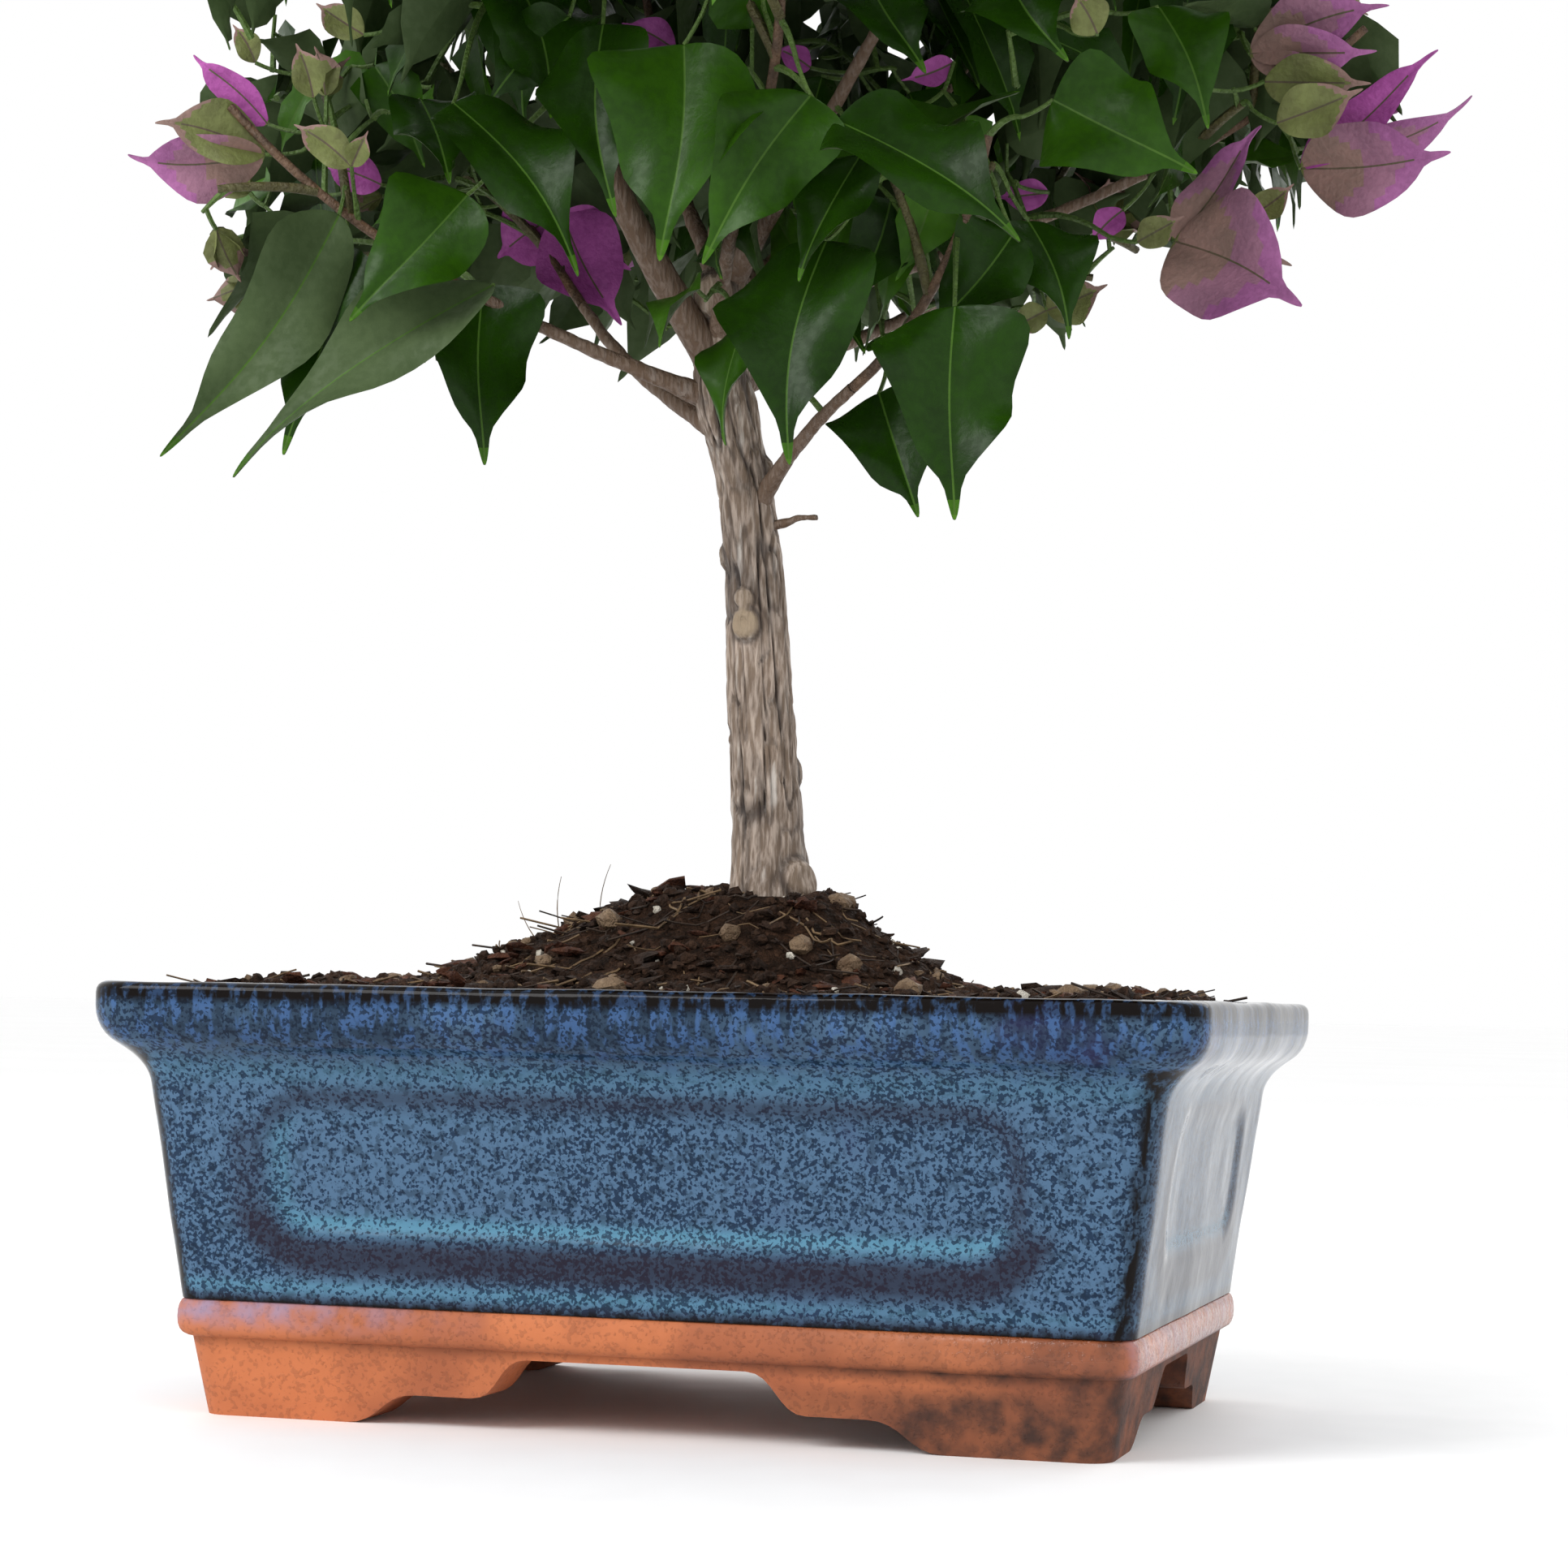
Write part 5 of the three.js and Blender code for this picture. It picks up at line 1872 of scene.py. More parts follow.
@dataclass
class GrowthRule:
    """The rule by which twigs, leaves and bracts grow from each bough."""

    limbs: Limbs
    seed: int = 20411
    seed_step: int = 977
    clear: float = 0.3
    stem_sag: float = 0.5
    stem_beyond: float = 0.42
    stem_lift: float = 0.3
    stem_bare: float = 0.3
    twig_count: int = 7
    twig_first: float = 0.18
    twig_spread: float = 52
    twig_lift: float = 0.16
    twig_arch: float = 0.1
    twig_least: float = 12
    twig_share: float = 0.5
    twig_play: float = 0.3
    twig_cuts: tuple = (1, 0.8, 0.62, 0.45)
    twig_margin: float = 5
    twig_radii: Pair = (1.05, 0.8)
    leaf_length: float = 30
    leaf_play: float = 12
    leaf_width: float = 0.58
    leaf_spacing: float = 6.5
    leaf_first: float = 5
    bract_places: tuple = (1, 0.9, 0.78, 0.66, 0.54, 0.42)
    bract_width: float = 0.7
    bract_stalk: float = 0.5
    bract_beyond: float = 8
    cell_gap: float = 0.4
    limb_gap: float = 1.2
    leaf_gap: float = 4
    twig_gap: float = 3
    root_room: float = 8
    room_low: tuple[float, float, float] = (-150, -150, 110)
    room_size: tuple[float, float, float] = (300, 300, 270)
    room_cell: float = 1
    shoot_count: int = 7
    shoot_length: Pair = (9, 13)
    shoot_radii: Pair = (0.7, 0.4)
    shoot_margin: float = 3
    shoot_hang: float = 0.5
    shoot_swing: float = 1.2
    hollow: int = 4
    hollow_tries: int = 14000
    valley: float = 16
    sky: tuple = (
        (-150, 150, 120, 196), (57, 150, 120, 200), (66, 150, 200, 214), (106, 150, 214, 224),
        (124, 150, 224, 280), (-150, -114, 120, 231), (-150, -124, 231, 246), (-150, -119, 246, 280),
        (-46, -11, 120, 200),
    )

    def __post_init__(self) -> None:
        """Works out the masses' middles and what the limbs fill."""
        self.masses = self.limbs.masses
        self.centres = np.array([self.limbs.centre(mass) for mass in self.masses])
        self.reaches = np.array([mass.reach for mass in self.masses], float)
        self.limb_spots, self.limb_radii = self.limbs.spheres()
        rows, columns = np.meshgrid(np.linspace(0, 1, 7), np.linspace(-0.5, 0.5, 5), indexing="ij")
        self.grid_along = rows.ravel()
        self.grid_across = columns.ravel()
        self.room = np.zeros([round(side / self.room_cell) for side in self.room_size], bool)

    def inside(self, spots: Array, own: int, margin: float) -> bool:
        """Tells whether points keep to a mass's own space.

        Args:
            spots: The points.
            own: Number of the mass, or anywhere in the crown.
            margin: How far inside its reach they stay.

        Returns:
            Whether all of them do.
        """
        squares = ((spots[:, None] - self.centres) ** 2).sum(2)
        if own == ANYWHERE:
            among = (squares < (self.reaches + self.valley - margin) ** 2).sum(1) > 1
            return bool((among | (squares < (self.reaches - margin) ** 2).any(1)).all())
        near = squares[:, own]
        if near.max() > (self.reaches[own] - margin) ** 2:
            return False
        power = squares - self.reaches ** 2 - (near - self.reaches[own] ** 2)[:, None]
        apart = 2 * np.linalg.norm(self.centres - self.centres[own], axis=1)
        apart[own] = 1
        gaps = power / apart
        gaps[:, own] = self.cell_gap
        return bool((gaps >= self.cell_gap).all())

    def sky_share(self, spots: Array) -> float:
        """Works out how many of some points stand where the open sky shows from the near side.

        Args:
            spots: The points.

        Returns:
            Their share.
        """
        step = EYE[1] / (EYE[1] - spots[:, 1])
        x, _, z = EYE[:, None] + (spots - EYE).T * step
        seen = [(x > left) & (x < right) & (z > low) & (z < high) for left, right, low, high in self.sky]
        return float(np.any(seen, axis=0).mean())

    def off_limbs(self, spots: Array) -> bool:
        """Tells whether points are clear of the trunk and boughs."""
        far = np.linalg.norm(spots[:, None] - self.limb_spots, axis=2)
        return bool((far > self.limb_radii + self.limb_gap).all())

    def free(self, spots: Array, own: int, margin: float) -> bool:
        """Tells whether points keep to a mass's own space, this far inside it, and off the limbs."""
        return self.inside(spots, own, margin) and self.off_limbs(spots)

    def spots(self, blade: Blade) -> Array:
        """Spreads test points over a blade.

        Args:
            blade: The blade.

        Returns:
            The points.
        """
        along = self.grid_along[:, None]
        width = blade.width * np.sin(math.pi * along ** 0.75)
        across_blade = width * self.grid_across[:, None] * blade.side
        fall = 0.1 * blade.length * along ** 2 * blade.face
        return blade.base + along * blade.length * blade.axis + across_blade - fall

    def cells(self, spots: Array) -> tuple[Array, Array, Array]:
        """Gives the cells of the crown's room in which points lie."""
        last = np.array(self.room.shape) - 2
        return tuple(np.clip((spots - self.room_low) / self.room_cell, 1, last).astype(int).T)

    def keep(self, spots: Array) -> None:
        """Keeps the room of a blade, and a little round it, from the finer leaves.

        Args:
            spots: Test points of the blade.
        """
        x, y, z = self.cells(spots)
        for step in np.ndindex(3, 3, 3):
            self.room[x + step[0] - 1, y + step[1] - 1, z + step[2] - 1] = True

    def has_room(self, spots: Array, grown: Grown) -> bool:
        """Tells whether a finer leaf has room, and keeps its room if so.

        Args:
            spots: Test points of the leaf.
            grown: What has grown there.

        Returns:
            Whether it has room.
        """
        if self.sky_share(spots) > 0 or self.room[self.cells(spots)].any():
            return False
        if not self.free(spots, grown.own, 0):
            return False
        self.keep(spots)
        return True

    def fits(self, spots: Array, root: Array, grown: Grown) -> bool:
        """Tells whether a leaf of the first growth has room, and keeps its room if so.

        Args:
            spots: Test points of the leaf.
            root: Where its stalk leaves the twig.
            grown: What has grown there.

        Returns:
            Whether it has room.
        """
        if not self.free(spots, grown.own, 0):
            return False
        twigs = grown.twig_spots
        twigs = twigs[np.linalg.norm(twigs - root, axis=1) > self.root_room]
        if len(twigs) and (np.linalg.norm(spots[:, None] - twigs, axis=2) < self.twig_gap).any():
            return False
        middle = len(spots) // 2
        for other in grown.blade_spots:
            if np.linalg.norm(other[middle] - spots[middle]) < self.leaf_length + self.leaf_play:
                if (np.linalg.norm(spots[:, None] - other, axis=2) < self.leaf_gap).any():
                    return False
        grown.blade_spots.append(spots)
        self.keep(spots)
        return True

    def stem(self, mass: Mass) -> Bow:
        """Gives the line of a mass's stem, from its bough's tip.

        Args:
            mass: The mass.

        Returns:
            The line.
        """
        bough = self.limbs.bough(mass)
        ahead = bough.ahead(1)
        start = bough.point(1) + ahead * self.clear
        centre = self.limbs.centre(mass)
        end = centre + unit(centre - start) * self.stem_beyond * mass.reach + UP * self.stem_lift * mass.reach
        return Bow(start, start + ahead * self.stem_sag * np.linalg.norm(end - start), end)

    def twig(self, stem: Bow, order: int, grown: Grown) -> None:
        """Grows one twig from a stem where it finds room.

        Args:
            stem: The stem.
            order: Number of the twig.
            grown: What has grown there.
        """
        own = grown.own
        t = self.twig_first + (1 - self.twig_first) * order / (self.twig_count - 1)
        start = stem.point(t)
        along = stem.ahead(t)
        spread = math.radians(self.twig_spread)
        out = around(along, order * GOLDEN + grown.draw()) * math.sin(spread)
        out = unit(out + along * math.cos(spread) + UP * self.twig_lift)
        full = self.reaches[own] * (self.twig_share + self.twig_play * grown.draw())
        for cut in self.twig_cuts:
            length = full * cut
            end = start + out * length - UP * self.twig_arch * length
            curve = Bow(start, start + out * length / 2 + UP * self.twig_arch * length, end)
            probes = np.array([curve.point(s) for s in (0.3, 0.5, 0.75, 1)])
            if length > self.twig_least and self.free(probes, own, self.twig_margin):
                grown.stems.append(Branch(curve, length, *self.twig_radii, Wood.TWIG))
                return

    def leaf(self, curve: Bow, t: float, phase: float, grown: Grown,
             share: float = 1, hang: float = 0) -> None:
        """Grows one leaf where it finds room.

        Args:
            curve: Line of the twig that carries it.
            t: Where its stalk leaves the twig, as a share of the line.
            phase: Angle round the twig.
            grown: What has grown there.
            share: Size of the leaf against a full one.
            hang: How much more a finer leaf hangs; none for the leaves of the first growth.
        """
        root = curve.point(t)
        along = curve.ahead(t)
        draw = grown.draw
        stalk = (5 + 4 * draw()) * share
        full = (self.leaf_length + self.leaf_play * draw()) * share
        fall = 0.4 + 0.7 * draw() + hang
        swing = self.shoot_swing * (2 * draw() - 1) if hang else 0
        for attempt in range(15):
            length = full * (1 - 0.03 * attempt)
            droop = fall * (1 - 0.35 * (attempt % 3))
            side = around(along, phase + attempt * GOLDEN)
            reach = unit(side * 0.8 + along * 0.5)
            base = root + reach * stalk
            outward = unit(np.array([base[0] - self.limbs.axis[0], base[1] - self.limbs.axis[1], 0.0]))
            axis = unit(reach * 0.62 + outward * 0.42 - UP * droop)
            face = outward * 0.7 + UP * 0.8 + side * 0.2
            if hang:
                face = outward * math.cos(swing) + np.cross(UP, outward) * math.sin(swing) + UP * 0.4
            blade = Blade(root, base, axis, face, length, length * self.leaf_width)
            spots = self.spots(blade)
            if self.has_room(spots, grown) if hang else self.fits(spots, root, grown):
                grown.blades.append(blade)
                return

    def bracts(self, curve: Bow, phase: float, grown: Grown, kind: Kind, tone: Petal,
               share: float = 1) -> None:
        """Grows one cluster of three bracts where it finds room.

        Args:
            curve: Line of the stem or twig that carries it.
            phase: Angle round it.
            grown: What has grown there.
            kind: Open bracts or a young bud.
            tone: Colour of the cluster.
            share: Size against a full cluster.
        """
        stalk = (5 + 4 * grown.draw()) * share ** 0.5
        length = (19 + 7 * grown.draw()) * share
        spread = 0.7 if kind is Kind.BRACT else 0.35
        for attempt, t in enumerate(self.bract_places):
            root = curve.point(t)
            along = curve.ahead(t)
            ahead = unit(along + around(along, phase + attempt * GOLDEN) * 3 * (1 - t))
            tip = root + ahead * stalk
            blades = []
            for k in range(3):
                side = around(ahead, phase + k / 3 * 2 * math.pi)
                axis = unit(ahead * 0.7 + side * spread)
                width = length * self.bract_width
                stem = 0 if k else self.bract_stalk
                blades.append(Blade(root, tip, axis, ahead, length, width, kind, tone, stem))
            spots = [self.spots(blade) for blade in blades]
            every = np.concatenate(spots)
            if kind is Kind.BUD and self.sky_share(every) > 0:
                continue
            if self.free(every, grown.own, -self.bract_beyond):
                grown.blade_spots.extend(spots)
                self.keep(every)
                grown.blades.extend(blades)
                return

    def shoots(self, grown: Grown) -> None:
        """Carries the growth to finer shoots with smaller leaves, among what has grown.

        Args:
            grown: What has grown there.
        """
        own = grown.own
        draw = grown.draw = seeded(self.seed * 3 + own * self.seed_step)
        for which, branch in enumerate(list(grown.stems)):
            for order in range(self.shoot_count):
                t = 0.25 + 0.75 * (order + draw()) / self.shoot_count
                start = branch.curve.point(t)
                along = branch.curve.ahead(t)
                out = unit(around(along, order * GOLDEN + which + draw()) * 0.8 + along * 0.6 + UP * 0.25)
                length = self.shoot_length[0] + self.shoot_length[1] * draw()
                curve = Bow(start, start + out * length / 2 + UP * 0.12 * length, start + out * length)
                probes = curve.points(4)[1:]
                if not self.free(probes, own, self.shoot_margin):
                    continue
                grown.stems.append(Branch(curve, length, *self.shoot_radii, Wood.SHOOT))
                if draw() < 0.3 * self.masses[own].bloom:
                    self.bracts(curve, order, grown, Kind.BUD, Petal.OLIVE, 0.35 + 0.25 * draw())
                for k, s in enumerate((0.3, 0.65, 1.0)):
                    share = 0.6 + 0.45 * draw()
                    self.leaf(curve, s, k * GOLDEN + which + order, grown, share, self.shoot_hang)
            for k in range(self.shoot_count):
                t = 0.2 + 0.8 * (k + draw()) / self.shoot_count
                share = 0.8 + 0.35 * draw()
                self.leaf(branch.curve, t, k * GOLDEN + 1.7 * which, grown, share, self.shoot_hang)

    def inner(self, masses: list[Grown]) -> Grown:
        """Fills the hollows in and between the masses with leafy shoots from the nearest limb or twig.

        Args:
            masses: What has grown in each mass.

        Returns:
            The shoots with their leaves.
        """
        deal = np.random.default_rng(self.seed)
        grown = Grown(draw=deal.random)
        shortest = self.shoot_length[0] / 2
        longest = self.shoot_length[0] + 2 * self.shoot_length[1]
        lines = [self.limbs.bough(mass).points(14)[5:] for mass in self.masses]
        lines += [branch.curve.points(14)[1:] for mass in masses for branch in mass.stems]
        wood = np.concatenate(lines)
        half = self.hollow
        for number, spot in enumerate(self.room_low + deal.random((self.hollow_tries, 3)) * self.room_size):
            x, y, z = (int(cell[0]) for cell in self.cells(spot[None]))
            if self.room[x - half:x + half, y - half:y + half, z - half:z + half].any():
                continue
            if self.sky_share(spot[None]) > 0 or not self.inside(spot[None], ANYWHERE, 5):
                continue
            far = np.linalg.norm(wood - spot, axis=1)
            length = float(far.min())
            if not shortest < length < longest:
                continue
            start = wood[np.argmin(far)]
            curve = Bow(start, (start + spot) / 2 + UP * 0.15 * length, spot)
            if not self.off_limbs(curve.points(6)[3:]):
                continue
            grown.stems.append(Branch(curve, length, *self.shoot_radii, Wood.SHOOT))
            wood = np.concatenate([wood, curve.points(6)[2:]])
            for k, s in enumerate((0.6, 0.8, 1.0)):
                share = 0.65 + 0.4 * deal.random()
                self.leaf(curve, s, k * GOLDEN + number, grown, share, self.shoot_hang)
        return grown

    def grow(self, own: int) -> Grown:
        """Grows one mass.

        Args:
            own: Number of the mass.

        Returns:
            What grew.
        """
        mass = self.masses[own]
        stem = self.stem(mass)
        grown = Grown(own, seeded(self.seed + own * self.seed_step))
        thick = mass.thick * self.limbs.taper * (1 - self.limbs.slim)
        grown.stems.append(Branch(stem, stem.length(), thick, self.twig_radii[1], Wood.STEM))
        for order in range(self.twig_count):
            self.twig(stem, order, grown)
        grown.twig_spots = np.concatenate([branch.curve.points(14) for branch in grown.stems])
        for which, branch in enumerate(grown.stems):
            if grown.draw() < mass.bloom:
                self.bracts(branch.curve, which, grown, Kind.BRACT, Petal((which + own) % 2))
        for which in reversed(range(len(grown.stems))):
            branch = grown.stems[which]
            first = branch.length * self.stem_bare if which == 0 else self.leaf_first
            count = max(0, math.floor((branch.length - first) / self.leaf_spacing))
            for k in range(count + 1):
                t = min(branch.length - 2, first + k * self.leaf_spacing) / branch.length
                self.leaf(branch.curve, t, k * GOLDEN + which, grown)
        self.shoots(grown)
        return grown


@dataclass
class NearSide:
    """The large leaves and the bracts that hang on the crown's near side, set one by one.

    Each row holds where the blade starts, where its tip hangs, its width against its length, how far its
    face turns to the right in degrees, and its tone.
    """

    rule: GrowthRule
    toward: tuple[float, float, float] = (0.28, -0.94, -0.18)
    room: float = 2.2
    most_sky: float = 0.25
    behind: float = 4
    around: float = 60
    stalk_reach: float = 7
    shoot_radii: Pair = (0.75, 0.45)
    leaf_lift: float = 0.45
    # Two narrow leaves on the left take tone 4, the undersides' grey-green, on their upper faces too, as a
    # painted sheen.
    leaves: tuple = (
        ((3, -52, 244), (2, -60, 204), 0.74, -12, 1), ((27, -54, 233), (10, -60, 203), 0.6, 14, 1),
        ((32, -55, 228), (66, -62, 204), 0.56, 20, 0), ((34, -46, 224), (25, -52, 201), 0.62, -20, 0),
        ((27, -42, 210), (24, -52, 169), 0.62, -14, 0), ((51, -44, 197), (53, -50, 159), 0.68, 10, 0),
        ((35, -34, 184), (44, -40, 161), 0.8, 0, 0), ((8, -26, 201), (6, -32, 176), 0.5, -48, 1),
        ((-47, -18, 210), (-43.5, -24, 175), 0.64, 12, 0), ((-38, -36, 206), (-83, -48, 170), 0.32, -20, 4),
        ((-70, -30, 216), (-79, -36, 176), 0.5, -20, 0), ((-70, -34, 221), (-100, -44, 175), 0.33, 8, 4),
        ((-42, -40, 222), (-61, -48, 198), 0.66, 0, 1), ((-42, -48, 237), (-15, -55, 203), 0.46, 12, 0),
        ((66, -35, 235), (92, -38, 220), 0.76, -8, 1), ((56, -20, 215), (42, -26, 196), 0.7, 0, 0),
        ((57, -12, 219), (66, -18, 196), 0.62, 12, 0), ((82, -20, 255), (92, -26, 231), 0.62, 0, 1),
        ((-23, -40, 254), (-37, -44, 237), 0.7, 0, 0), ((30, -30, 262), (44, -40, 240), 0.66, 10, 0),
        ((56, -32, 262), (70, -42, 240), 0.66, -10, 0), ((-60, -20, 246), (-48, -34, 226), 0.6, 0, 0),
        ((-15, -44, 251), (-9, -52, 214), 0.5, -10, 0), ((-34, -38, 262), (-24, -46, 234), 0.7, 10, 0),
    )
    bracts: tuple = (
        ((-85, -35, 233), (-111, -40, 233), 0.5, 20, 1), ((-85, -35, 233), (-104, -43, 238), 0.56, -20, 2),
        ((-85, -34, 239), (-99, -38, 252), 0.4, 30, 0), ((81, 5, 218), (106, -4, 203), 0.8, 0, 1),
        ((81, 5, 218), (97, 5, 239), 0.4, 40, 1), ((81, 5, 218), (102, 12, 214), 0.5, 0, 2),
        ((103, 15, 233), (131, 12, 234), 0.62, 0, 1), ((103, 15, 233), (128, 18, 255), 0.3, 30, 0),
        ((103, 15, 233), (134, 22, 247), 0.3, -30, 1), ((94, 10, 254), (120, 8, 261), 0.45, 10, 1),
        ((94, 10, 254), (118, 6, 252), 0.45, -10, 1), ((97, 8, 248), (117, 6, 246), 0.5, 0, 2),
        ((100, 4, 239), (116, 2, 244), 0.6, 0, 2), ((-49, 30, 235), (-35, 28, 211), 0.66, 0, 0),
        ((-49, 30, 235), (-64, 33, 227), 0.85, 0, 0), ((-49, 30, 235), (-36, 36, 224), 0.7, 0, 0),
        ((-76, 0, 235), (-88, -2, 239), 0.6, 0, 0), ((54, 20, 232), (44, 18, 231), 0.6, 0, 0),
        ((70, 12, 226), (64, 10, 219), 0.6, 0, 0), ((56, 10, 207), (68, 8, 211), 0.7, 0, 2),
        ((56, 10, 207), (49, 8, 203), 0.7, 0, 2), ((-88, -34, 251), (-92, -36, 258), 0.6, 0, 2),
        ((-75, -36, 243), (-78, -38, 253), 0.6, 0, 2), ((-66, -38, 229), (-77, -40, 237), 0.5, 0, 2),
        ((-66, -38, 229), (-62, -40, 235), 0.6, 0, 2), ((-66, -34, 255), (-75, -36, 261), 0.6, 0, 2),
        ((74, -36, 246), (70, -38, 253), 0.9, 0, 2), ((75, 0, 217), (84, -2, 221), 0.6, 0, 2),
        ((95, 8, 223), (103, 6, 228), 0.6, 0, 2), ((42, -10, 250), (33, -14, 246), 0.5, 0, 0),
        ((13, -5, 252), (7, -10, 255), 0.6, 0, 0), ((-14, -5, 257), (-24, -8, 262), 0.6, 0, 0),
    )

    def blade(self, row: tuple, kind: Kind, droop: float) -> Blade:
        """Makes one blade.

        Args:
            row: Its row in the list.
            kind: What it is.
            droop: How far its shape carries its tip back, against its length.

        Returns:
            The blade, not yet on a stalk.
        """
        base, tip = (np.array(place, float) for place in row[:2])
        length = float(np.linalg.norm(tip - base))
        axis = unit(tip - base)
        front = unit(EYE - base)
        if kind is Kind.LEAF:
            front = front + UP * self.leaf_lift
        front = unit(front - axis * float(front @ axis))
        turn = math.radians(row[3])
        face = front * math.cos(turn) + np.cross(front, axis) * math.sin(turn)
        axis = unit(tip + face * droop * length - base)
        return Blade(base, base, axis, face, length, length * row[2], kind, row[4])

    def in_the_way(self, spots: Array, blade: Blade) -> bool:
        """Tells whether something touches a blade or hides it from the near side.

        Args:
            spots: Test points of the other thing.
            blade: The blade.

        Returns:
            Whether it is in the way.
        """
        off = spots - blade.base
        toward = unit(np.array(self.toward))
        depth = off @ toward
        flat = off - depth[:, None] * toward
        along = flat @ unit(blade.axis - toward * float(blade.axis @ toward))
        side = unit(blade.side - toward * float(blade.side @ toward))
        within = (along > 0) & (along < blade.length) & (np.abs(flat @ side) < blade.width / 2)
        middle = blade.axis * blade.length / 2
        near = np.linalg.norm(off - middle, axis=1) < self.room
        return bool((within & (depth > -self.behind)).any() or near.any())

    def clear(self, blades: list[Blade], grown: Grown) -> None:
        """Takes away what is in the way of the listed blades, and what hangs in the open sky.

        Args:
            blades: The listed blades.
            grown: What has grown in a mass.
        """
        gone = set()
        for other in grown.blades:
            spots = self.rule.spots(other)
            reach = other.length + self.around
            near = [blade for blade in blades if np.linalg.norm(other.base - blade.base) < reach]
            hidden = any(self.in_the_way(spots, blade) for blade in near)
            if hidden or self.rule.sky_share(spots) > self.most_sky:
                gone.add(tuple(other.base))
        grown.blades = [other for other in grown.blades if tuple(other.base) not in gone]

    def attach(self, blades: list[Blade], masses: list[Grown]) -> list[Branch]:
        """Joins every blade to the nearest twig by a stalk, and by a shoot where that is too short.

        Args:
            blades: The listed blades.
            masses: What has grown in each mass.

        Returns:
            The shoots.
        """
        spots = np.concatenate([branch.curve.points(12)[1:] for grown in masses for branch in grown.stems])
        shoots = []
        joined: dict[tuple, Array] = {}
        for blade in blades:
            key = tuple(blade.base)
            if key in joined:
                blade.root = joined[key]
                blade.stalk = 0
                continue
            uphill = blade.base - blade.axis * self.stalk_reach + UP * 2
            start = spots[np.argmin(np.linalg.norm(spots - uphill, axis=1))]
            far = float(np.linalg.norm(blade.base - start))
            if far > self.stalk_reach:
                back = blade.base + unit(start - blade.base) * self.stalk_reach
                lift = UP * 0.15 * far
                line = Bow(start, (start + back) / 2 + lift, back)
                shoots.append(Branch(line, far, *self.shoot_radii, Wood.SHOOT))
                start = back
            blade.root = start
            joined[key] = start
        return shoots

    def build(self, masses: list[Grown], leaf_droop: float, bract_droop: float) -> Grown:
        """Sets the blades and clears their room.

        Args:
            masses: What has grown in each mass.
            leaf_droop: How far a leaf's shape carries its tip back.
            bract_droop: The same for a bract.

        Returns:
            The blades with their shoots.
        """
        blades = [self.blade(row, Kind.LEAF, leaf_droop) for row in self.leaves]
        blades += [self.blade(row, Kind.BRACT, bract_droop) for row in self.bracts]
        for grown in masses:
            self.clear(blades, grown)
            grown.prune()
        return Grown(stems=self.attach(blades, masses), blades=blades)


